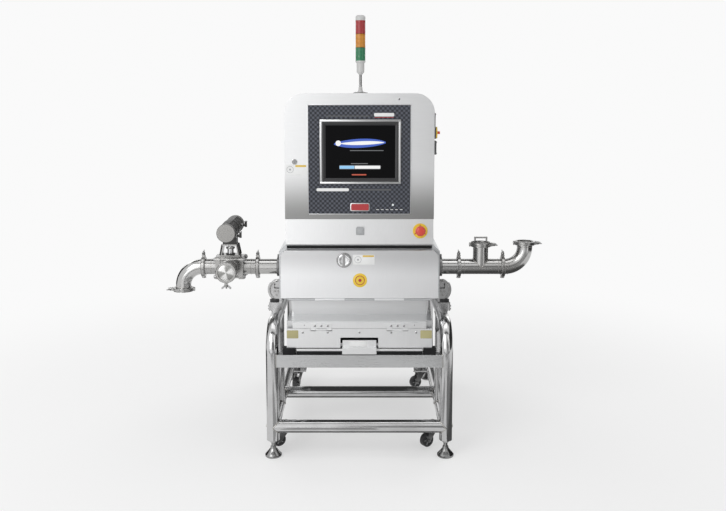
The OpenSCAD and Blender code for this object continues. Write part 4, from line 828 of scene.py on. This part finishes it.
# Signal tower: ribbed lenses, cap, and the pole with its foot
TOWER_X, TOWER_Y = middle("signal_tower_stem", "X"), middle("signal_tower_stem", "Y")
TOWER_FOOT, LENS_FOOT = reach("signal_tower_stem", "Z")
ribs = [(18, 0), (20.3, 0.6)]
for z in (2.5 + k * 4.1 for k in range(12)):
    ribs += [(20.3, z), (19.7, z + 1.2), (20.3, z + 2.4)]
ribs += [(20.3, 53.0), (18, 53.4)]
for i, name in enumerate(("lamp_green", "lamp_amber", "lamp_red")):
    lamp = Piece(name, name, smooth=30).lathe(ribs, stand(TOWER_X, TOWER_Y, LENS_FOOT + i * 54), 48).done()
    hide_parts("signal_tower_lenses")
foot = stand(TOWER_X, TOWER_Y, LENS_FOOT)
cap = Piece("tower_cap", "tower")
cap.lathe([(17, -0.8), (20.6, -0.8), (20.6, 0.7), (17, 0.7)], foot, 48)
cap.lathe([(17, 161), (20.6, 161), (20.6, 174), (19, 178.5), (14, 181.5), (7, 182.8), (0, 183)], foot, 48)
cap = cap.done()
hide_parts("signal_tower_lenses")
foot = stand(TOWER_X, TOWER_Y, TOWER_FOOT)
pole = Piece("tower_pole_sleeve", "latch")
for a in (radians(d) for d in (45, 165, 285)):
    pole.screw(foot @ (Vector((22.5 * cos(a), 22.5 * sin(a), 3.2)) / 1000), UP, 6)
pole.lathe([(6.6, 28), (6.6, 33), (5.8, 34)], foot, 24)
pole.lathe([(5.7, 33), (5.7, 73.5), (5.2, 73.9)], foot, 28)
pole.lathe([(30.2, 0.2), (30.8, 0.6), (30.8, 1.9), (29.5, 2.5), (16, 5.0), (14, 5.2)], foot, 44)

# Actuator: end caps, ribs, air fittings and the posts of its yoke
ACT_Y, ACT_Z = middle("valve_actuator", "Y"), reach("valve_actuator", "Z")[1] - 38
ACT_END = reach("valve_actuator", "Y")[1] - ACT_Y - 9
caps = Piece("actuator_caps", "endcap", smooth=35)
for s in SIDES:
    caps.lathe([(36.2, -12), (37.6, -11), (37.6, 7.4), (36.2, 9.2), (0, 9.4)],
               turn_to((0, s, 0), P(VALVE_X, ACT_Y + s * ACT_END, ACT_Z)), 64)
barrel = Piece("actuator_ribs", "barrel")
for s in SIDES:
    barrel.ring(P(VALVE_X, ACT_Y + s * 122, ACT_Z), BACK, 36.6, 1.3, 56)
for dy in range(-104, 105, 26):
    barrel.ring(P(VALVE_X, ACT_Y + dy, ACT_Z), BACK, 36.2, 0.9, 56, 6)
barrel.block((VALVE_X - 13, VALVE_X + 13), (ACT_Y - 118, ACT_Y + 118), (ACT_Z + 34.5, ACT_Z + 37.4), 1.2)
posts = Piece("yoke_posts", "barrel")
for s, dy in product(SIDES, (-22.5, 22.5)):
    y = PIPE_Y + dy
    posts.tube([P(VALVE_X + s * 40.5, y, 771), P(VALVE_X + s * 31.5, y, 815)], 3.2, 12)
axis = stand(VALVE_X, PIPE_Y, 0)
posts.lathe([(16.4, 771), (19.0, 771), (19.0, 775), (16.4, 775)], axis, 36)
collar = Piece("stem_collar", "fitting", "valve_rotor")
collar.lathe([(13.1, 794), (17.5, 794.6), (18.3, 796), (18.3, 801), (17.5, 802.4), (13.1, 803)], axis, 36)
air = Piece("actuator_fittings", "bolt")
for dy, dz in ((-95, -16), (70, 4)):
    y, z = ACT_Y + dy, ACT_Z + dz
    air.lathe([(8.6, 0), (8.6, 6), (7.6, 7)], turn_to(RIGHT, P(VALVE_X + 34, y, z)), 6)
    air.lathe([(6.6, 0), (6.6, 3), (5.2, 4.2), (3.4, 4.2)], turn_to(UP, P(VALVE_X + 53.5, y, z + 14)), 24)
for dx, dy in product((-20.58, 20.58), (-19, 19)):
    air.bolt(P(VALVE_X + dx, PIPE_Y + dy, 816.2), UP, 8)

# Valve: nuts, seams and rings of its body, turned faces of the blind caps, the front one with painted
# reflection
nuts = Piece("valve_nuts", "bolt")
for s, dy, dz in product(SIDES, (-36, 36), (-36, 36)):
    m = turn_to((s, 0, 0), P(VALVE_X + s * 57, PIPE_Y + dy, PIPE_Z + dz))
    nuts.lathe([(10.6, 0), (10.6, 1.2), (6.3, 1.2)], m, 28)
    nuts.lathe([(9.8, 1.2), (9.8, 5.4), (8.4, 6.6), (6.2, 6.6)], m, 6)
    nuts.lathe([(6.05, 6.0), (6.05, 8.2), (5.0, 9.0), (0, 9.0)], m, 20)
rings = Piece("valve_rings", "fitting")
for s, dx in product(SIDES, (57.4, 112)):
    rings.ring(P(VALVE_X + s * dx, PIPE_Y, PIPE_Z), RIGHT, 32.6, 1.2, ripple=0.12)
for k in (0, 1):
    rings.ring(P(VALVE_X, PIPE_Y - 41 + k * 0.5, PIPE_Z), BACK, 33.2 + k * 3, 1.8, 44)
for y in (PIPE_Y - 19, PIPE_Y + 19):
    rings.block((VALVE_X - 14, VALVE_X + 14), (y - 4, y + 4), (765.8, 769.5), 0.8)
CAP_FACE = [(37.0, -0.3), (37.0, 0.3), (35.5, 0.8), (18, 1.3), (0, 1.7)]
for name, look, m in (
    ("blind_cap_front", "turned_face_painted_reflection", turn_to(FORWARD, P(VALVE_X, reach("blind_caps", "Y")[0], PIPE_Z))),
    ("blind_cap_top", "fitting", turn_to(UP, P(TEE_X, PIPE_Y, 817.75))),
):
    Piece(name, look, smooth=25).lathe(CAP_FACE, m, 72)

# Clamps: place and turn of each joint, then knuckles, rolled edges, hinge pins and bolt ends
JOINTS = [(x, PIPE_Y, PIPE_Z, spin(-90, "Y")) for x in (-652, -425.5, 414.5, 598)] + [
    (-739, PIPE_Y, 622, spin(180, "Z")),
    (TEE_X, PIPE_Y, 811, spin(0, "Z")),
    (689, PIPE_Y, 818, spin(0, "Z")),
    (VALVE_X, -352, PIPE_Z, spin(90, "Y") @ spin(90, "X")),
]
pins, knuckles = Piece("clamp_pins", "bolt"), Piece("clamp_knuckles", "fitting")
for x, y, z, way in JOINTS:
    m = stand(x, y, z) @ way
    knuckles.box((-48.5, -6.2, -5.8), (-40.5, 6.2, 5.8), 1.6, m)
    pins.lathe([(2.4, -8.6), (2.4, 8.6), (0, 8.9)], m @ shift(-45.5), 16)
    for dz in (-0.0063, 0.0063):
        knuckles.ring(m @ Vector((0, 0, dz)), m.to_3x3() @ Vector(UP), 41.2, 1.1, 48)
    pins.lathe([(2.2, -8.2), (2.2, 8.2), (0, 8.5)], m @ shift(46.2), 16)
    nut, end = m @ shift(56) @ spin(90, "Y"), m @ shift(59) @ spin(90, "Y")
    knuckles.lathe([(6.9, -3.6), (7.3, -1.5), (6.6, 2.4), (5.2, 4.2), (3.1, 4.4)], nut, 20)
    pins.lathe([(3.05, 0), (3.05, 6.4), (2.3, 7.0), (0, 7.0)], end, 16)

# Pipes: orbital weld seams, then collars and clamps where the pipe enters the chamber
welds = Piece("pipe_welds", "weld", smooth=70)
for x in (-452, -618, 436, 578, 618):
    welds.ring(P(x, PIPE_Y, PIPE_Z), RIGHT, 31.8, 0.9, 48, 6, 0.2)
for x, z in ((-739, 634), (689, 803)):
    welds.ring(P(x, PIPE_Y, z), UP, 31.8, 0.9, 48, 6, 0.2)
welds.saddle(P(TEE_X, PIPE_Y, PIPE_Z), RIGHT, UP, PIPE_R, 1.2, 60)
collars, clamps = Piece("chamber_collars", "fitting"), Piece("chamber_clamps", "caster")
for s in SIDES:
    collars.ring(P(s * CHAMBER_X, PIPE_Y, PIPE_Z), RIGHT, 37.5, 2.4, 48, 10)
    collars.ring(P(s * (CHAMBER_X - 7), PIPE_Y, PIPE_Z), RIGHT, 42.4, 1.6, 48, 8, 0.1)
    m = turn_to((s, 0, 0), P(s * (CHAMBER_X + 2), PIPE_Y, PIPE_Z))
    clamps.lathe([(32.0, 0), (39.5, 0), (40.5, 1), (40.5, 9), (39.5, 10), (32.0, 10)], m, 48)
    clamps.box((-6, 36, 1), (6, 52, 9), 1.2, m)

# Side brackets: round rim, dark recess and block
for s, side in ((-1, "left"), (1, "right")):
    rim, recess = Piece(f"bracket_rim_{side}", "fitting"), Piece(f"bracket_block_{side}", "black")
    arc = [(328 + 43.4 * cos(radians(a)), 627 + 43.4 * sin(radians(a))) for a in range(-70, 91, 8)]
    rim.tube([P(s * x, BRACKET_Y - 0.2, z) for x, z in arc], 2.4)
    lo, hi = sorted((s * 330, s * 354))
    recess.block((lo, hi), (BRACKET_Y - 3.5, BRACKET_Y + 0.2), (634, 655), 1.0)
    rim.block((lo + 2, hi - 2), (BRACKET_Y - 4.4, BRACKET_Y - 3.2), (641, 648), 0.6)
    for x in (lo + 3, lo + 10, lo + 17):
        recess.block((x, x + 3), (BRACKET_Y - 4.6, BRACKET_Y - 3.2), (636, 639), 0.4)
    recess.block(sorted((s * 334, s * 372)), (BRACKET_Y - 2.6, BRACKET_Y + 2), (575, 590), 1.2)
    for x, z in ((338, 622), (352, 622), (345, 606)):
        rim.bolt(P(s * x, BRACKET_Y - 0.1, z), FORWARD, 7, 3.4, x)

# Casters: swivel race and axle nuts on the fork, spoked hub on the wheel
WHEEL_TRAIL, WHEEL_Z = 32, 35.5
CASTER_TURN = {("front", "left"): 200, ("front", "right"): 215, ("rear", "left"): 250, ("rear", "right"): 205}
for (row, side), degrees in CASTER_TURN.items():
    base = stand(-CASTER_X if side == "left" else CASTER_X, CASTER_Y[row], 0) @ spin(degrees, "Z")
    race = Piece(f"caster_race_{row}_{side}", "caster", f"caster_fork_{row}_{side}")
    race.lathe([(20, 95.6), (22.6, 94.2), (22.6, 92.4), (20, 91.0)], base, 40)
    for k in SIDES:
        m = base @ shift(WHEEL_TRAIL, k * 14.5, WHEEL_Z) @ spin(-90 * k, "X")
        race.lathe([(7.6, 0), (7.6, 1.2), (4, 1.2)], m, 24)
        race.lathe([(6.6, 1.2), (6.6, 4.6), (5.4, 5.6), (0, 5.8)], m, 6)
    race.lathe([(9.2, 104.8), (9.2, 111), (7.8, 112.2), (0, 112.2)], base, 6)
    hub = Piece(f"caster_hub_{row}_{side}", "midgrey", f"caster_wheel_{row}_{side}")
    for turn in (270, 90):
        m = base @ shift(WHEEL_TRAIL, 0, WHEEL_Z) @ spin(turn, "X")
        hub.lathe([(4.2, 8.2), (9.0, 8.2), (10, 9.6), (9.0, 10.4), (4.2, 10.4)], m, 32)
        for spoke in range(0, 360, 72):
            hub.box((10, -1.4, 7.6), (19.2, 1.4, 9.6), 0.5, m @ spin(spoke, "Z"))

# Rear door: pressed louvres, each with a black slot under it as painted shade of its opening, folded rim,
# latch plate and boss
LOUVRE = 110
louvres = Piece("door_louvres", "sheet", "rear_door", 30)
slots = Piece("door_louvre_slots_painted_shade", "black", "rear_door", 0)
for z, x in product(range(1010, 1109, 11), (-150, 40)):
    steps = 14
    crest = [3.2 * sin(pi * i / steps) ** 0.35 if 0 < i < steps else 0 for i in range(steps + 1)]
    xs = [x + i / steps * LOUVRE for i in range(steps + 1)]
    up = louvres.row([P(px, DOOR_Y - 0.1, z + 3.6) for px in xs])
    lip = louvres.row([P(px, DOOR_Y + h, z) for px, h in zip(xs, crest)])
    low = louvres.row([P(px, DOOR_Y - 0.2, z - 0.6) for px in xs])
    louvres.strip(up, lip, False)
    louvres.strip(lip, low, False)
    louvres.bm.faces.new(up + low[::-1])
    slots.block((x + 5, x + LOUVRE - 5), (DOOR_Y - 0.15, DOOR_Y + 0.1), (z - 2.2, z - 0.5), 0)
outline = rounded_outline((-273, 273), (968, 1402), 9, 6)
fold = Piece("door_rim_fold", "sheet", "rear_door")
fold.tube([P(x, DOOR_Y + 0.1, z) for x, z in outline], 0.9, 6, True)
for name, body, out, profile, seg in (
    ("door_latch_rose", "rear_door", 0, [(22, 0), (22, 0.35), (20.5, 1.1), (16.6, 1.1)], 48),
    ("door_latch_boss", "rear_door_latch", 20, [(5.6, -0.4), (5.2, 0.8), (3, 1.5), (0, 1.7)], 28),
):
    at = P(DOOR_LATCH_X, DOOR_Y + out, DOOR_LATCH_Z)
    Piece(name, "chrome", body).lathe(profile, turn_to(BACK, at), seg)

# Cable gland in the base's rear hole, closed by a dome
m = turn_to(BACK, P(-180, BASE_Y, 494.5))
gland = Piece("cable_gland", "black")
gland.lathe([(9.9, -8), (9.9, 0), (14.5, 0), (14.5, 1.2), (13.2, 1.4)], m, 36)
gland.lathe([(13.6, 1.2), (13.6, 7.0), (12.4, 8.0), (9, 8.0)], m, 6)
gland.lathe([(11.2, 7.6), (11.2, 10.5), (9.6, 12.4), (6.0, 12.6), (5.0, 11.6), (0, 11.6)], m, 36)

# Fillet seams on base and neck, and the dark joint under the band
seams = Piece("sheet_seams", "base")
for s in SIDES:
    for x, y, zs, bead in (
        (BASE_X - 0.6, 0.6 - BASE_Y, (446, 500, 547), 1.0),
        (BASE_X - 0.6, BASE_Y - 0.6, (446, 500, 547), 1.0),
        (296.6, -336.4, (834, 880, 934), 0.9),
    ):
        seams.tube([P(s * x, y, z) for z in zs], bead)
Piece("neck_seal", "rubber").block((-290, 290), (-341, -337.2), (826.2, 832.4), 1.0)

# Controller: fins, modules and terminals, seen with the rear door open
fins = Piece("controller_fins", "endcap")
for x in range(-188, 148, 24):
    fins.block((x, x + 3), (CONTROLLER_Y - 10.5, CONTROLLER_Y), (1185, 1290), 0.5)
modules, terminals = Piece("controller_modules", "midgrey"), Piece("controller_terminals", "lamp_green")
for z, x in product((880, 968, 1056), range(-236, 172, 34)):
    modules.block((x, x + 22), (CONTROLLER_Y, CONTROLLER_Y + 6), (z, z + 44), 1.2)
    terminals.block((x + 4, x + 18), (CONTROLLER_Y + 6, CONTROLLER_Y + 8), (z + 28, z + 38), 0.6)

for piece in list(PIECES):
    piece.done()

# Floor and world
scene = bpy.context.scene
PALE = (0.955, 0.955, 0.955, 1)


def floor_material():
    """Pale floor that keeps the soft shadow near the machine and fades into the backdrop."""
    n = Net(bpy.data.materials.new("floor"))
    far = n.add("ShaderNodeVectorMath")
    far.operation = "LENGTH"
    n.join(n.add("ShaderNodeTexCoord").outputs["Object"], far.inputs[0])
    n.blend(n.span(far.outputs["Value"], 1.1, 3.0, 0.5, 1.0, True),
            n.add("ShaderNodeBsdfDiffuse", Color=(0.93, 0.93, 0.93, 1)),
            n.add("ShaderNodeEmission", Color=PALE, Strength=1.0))
    return n.owner


bm = bmesh.new()
bmesh.ops.create_circle(bm, cap_ends=True, radius=40.0, segments=96)
floor = new_object("floor", bm, floor_material())
floor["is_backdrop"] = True

# The world lights evenly; camera, glossy and transmission rays see the pale backdrop
scene.world = bpy.data.worlds.new("studio")
world = Net(scene.world, "ShaderNodeOutputWorld")
path = world.add("ShaderNodeLightPath")
seen = world.math("MAXIMUM", path.outputs["Is Camera Ray"], path.outputs["Is Glossy Ray"])
world.blend(world.math("MAXIMUM", seen, path.outputs["Is Transmission Ray"]),
            world.add("ShaderNodeBackground", Color=(1, 1, 1, 1), Strength=0.5),
            world.add("ShaderNodeBackground", Color=PALE, Strength=1.0))


def card(name, at, size, grey, turn=(0, 0, 0)):
    """Studio card that only reflections see: it gives polished steel its dark streaks."""
    name = f"card_{name}"
    n = Net(bpy.data.materials.new(name))
    n.join(n.add("ShaderNodeEmission", Color=(grey, grey, grey, 1)).outputs[0], n.out.inputs[0])
    bm = bmesh.new()
    bmesh.ops.create_grid(bm, x_segments=1, y_segments=1, size=0.5)
    ob = new_object(name, bm, n.owner)
    ob.scale = (*size, 1)
    ob.rotation_euler = [radians(a) for a in turn]
    ob.location = at
    ob.visible_camera = ob.visible_diffuse = ob.visible_transmission = ob.visible_shadow = False
    ob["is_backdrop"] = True


# Upright cards round the studio, high ones above the machine, low ones near the floor
card("left", (-3.6, 2.9, 1.4), (5.0, 3.6), 0.03, (90, 0, 90))
card("right", (3.4, 1.2, 1.4), (8.2, 3.6), 0.03, (90, 0, 90))
card("front_light", (-1.9, -6.2, 1.3), (2.6, 3.6), 1.22, (90, 0, 0))
card("front_grey", (1.6, -6.2, 1.3), (3.2, 3.6), 0.28, (90, 0, 0))
card("front_right", (2.5, -4.6, 1.6), (1.3, 3.8), 0.05, (90, 0, -20))
card("rear", (0.4, 5.0, 1.3), (2.0, 2.8), 0.08, (90, 0, 0))
card("over", (0.2, 1.6, 3.4), (6.0, 2.6), 0.05)
card("high", (0.4, -2.4, 3.9), (6.0, 0.7), 0.05)
card("low", (0.2, -1.95, 0.03), (6.0, 0.45), 0.05)
card("floor_light", (-1.0, -3.7, 0.006), (1.7, 2.6), 1.2)
card("floor_grey", (1.15, -3.7, 0.006), (2.2, 2.6), 0.42)
card("floor_left", (-1.42, 0.5, 0.006), (1.3, 1.5), 0.08)
card("floor_right", (0.96, 0.08, 0.006), (1.08, 1.66), 0.10)
card("floor_front", (-0.10, -1.0, 0.006), (0.40, 0.75), 0.42)
card("floor_side", (0.88, -1.15, 0.006), (0.92, 0.8), 0.25)
# Dark cards under the base box and on the floor under each cross tube: painted shade, for the polished tubes
# to reflect
card("base", (0.026, 0.0, 0.43), (0.56, 0.88), 0.05)
for i, y in enumerate((FRONT, MID, REAR)):
    card(f"under_{i}", (CX, y / 1000, 0.006), (0.68, 0.09), 0.05)

# Lamps: name, place, what it looks at, size and power
for name, place, look, size, power in (
    ("key", (-2.6, -3.4, 3.4), (0, -0.2, 0.9), (2.2, 2.2), 54),
    ("fill", (3.2, -2.8, 2.4), (0, -0.2, 0.9), (2.4, 2.4), 9),
    ("front", (-2.3, -4.3, 1.7), (0, -0.3, 1.0), (1.4, 2.6), 20),
    ("top", (0.0, 0.2, 4.2), (0, 0, 0), (3.6, 3.0), 33),
    ("back_left", (-2.8, 3.2, 2.6), (0, 0, 0.9), (2.0, 2.4), 26),
    ("back_right", (2.8, 3.2, 2.6), (0, 0, 0.9), (2.0, 2.4), 26),
):
    data = bpy.data.lights.new(name, "AREA")
    data.shape = "RECTANGLE"
    data.size, data.size_y = size
    data.energy = power
    lamp = bpy.data.objects.new(name, data)
    lamp.location = place
    lamp.rotation_mode = "QUATERNION"
    lamp.rotation_quaternion = (Vector(look) - Vector(place)).to_track_quat("-Z", "Y")
    scene.collection.objects.link(lamp)

# Camera: focal length and shift are in pixels of a picture 726 wide
PICTURE_WIDTH, FOCAL, SHIFT_Y, PITCH = 726, 860.147, -60, 6.53
cam = bpy.data.cameras.new("camera")
cam.sensor_width = 36.0
cam.lens = FOCAL / PICTURE_WIDTH * cam.sensor_width
cam.shift_y = SHIFT_Y / PICTURE_WIDTH
camera = bpy.data.objects.new("camera", cam)
camera.location = (0.04026, -3.76995, 1.42272)
camera.rotation_euler = (radians(90 - PITCH), 0, 0)
scene.collection.objects.link(camera)
scene.camera = camera
scene.view_settings.view_transform = "Standard"

lo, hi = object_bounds()
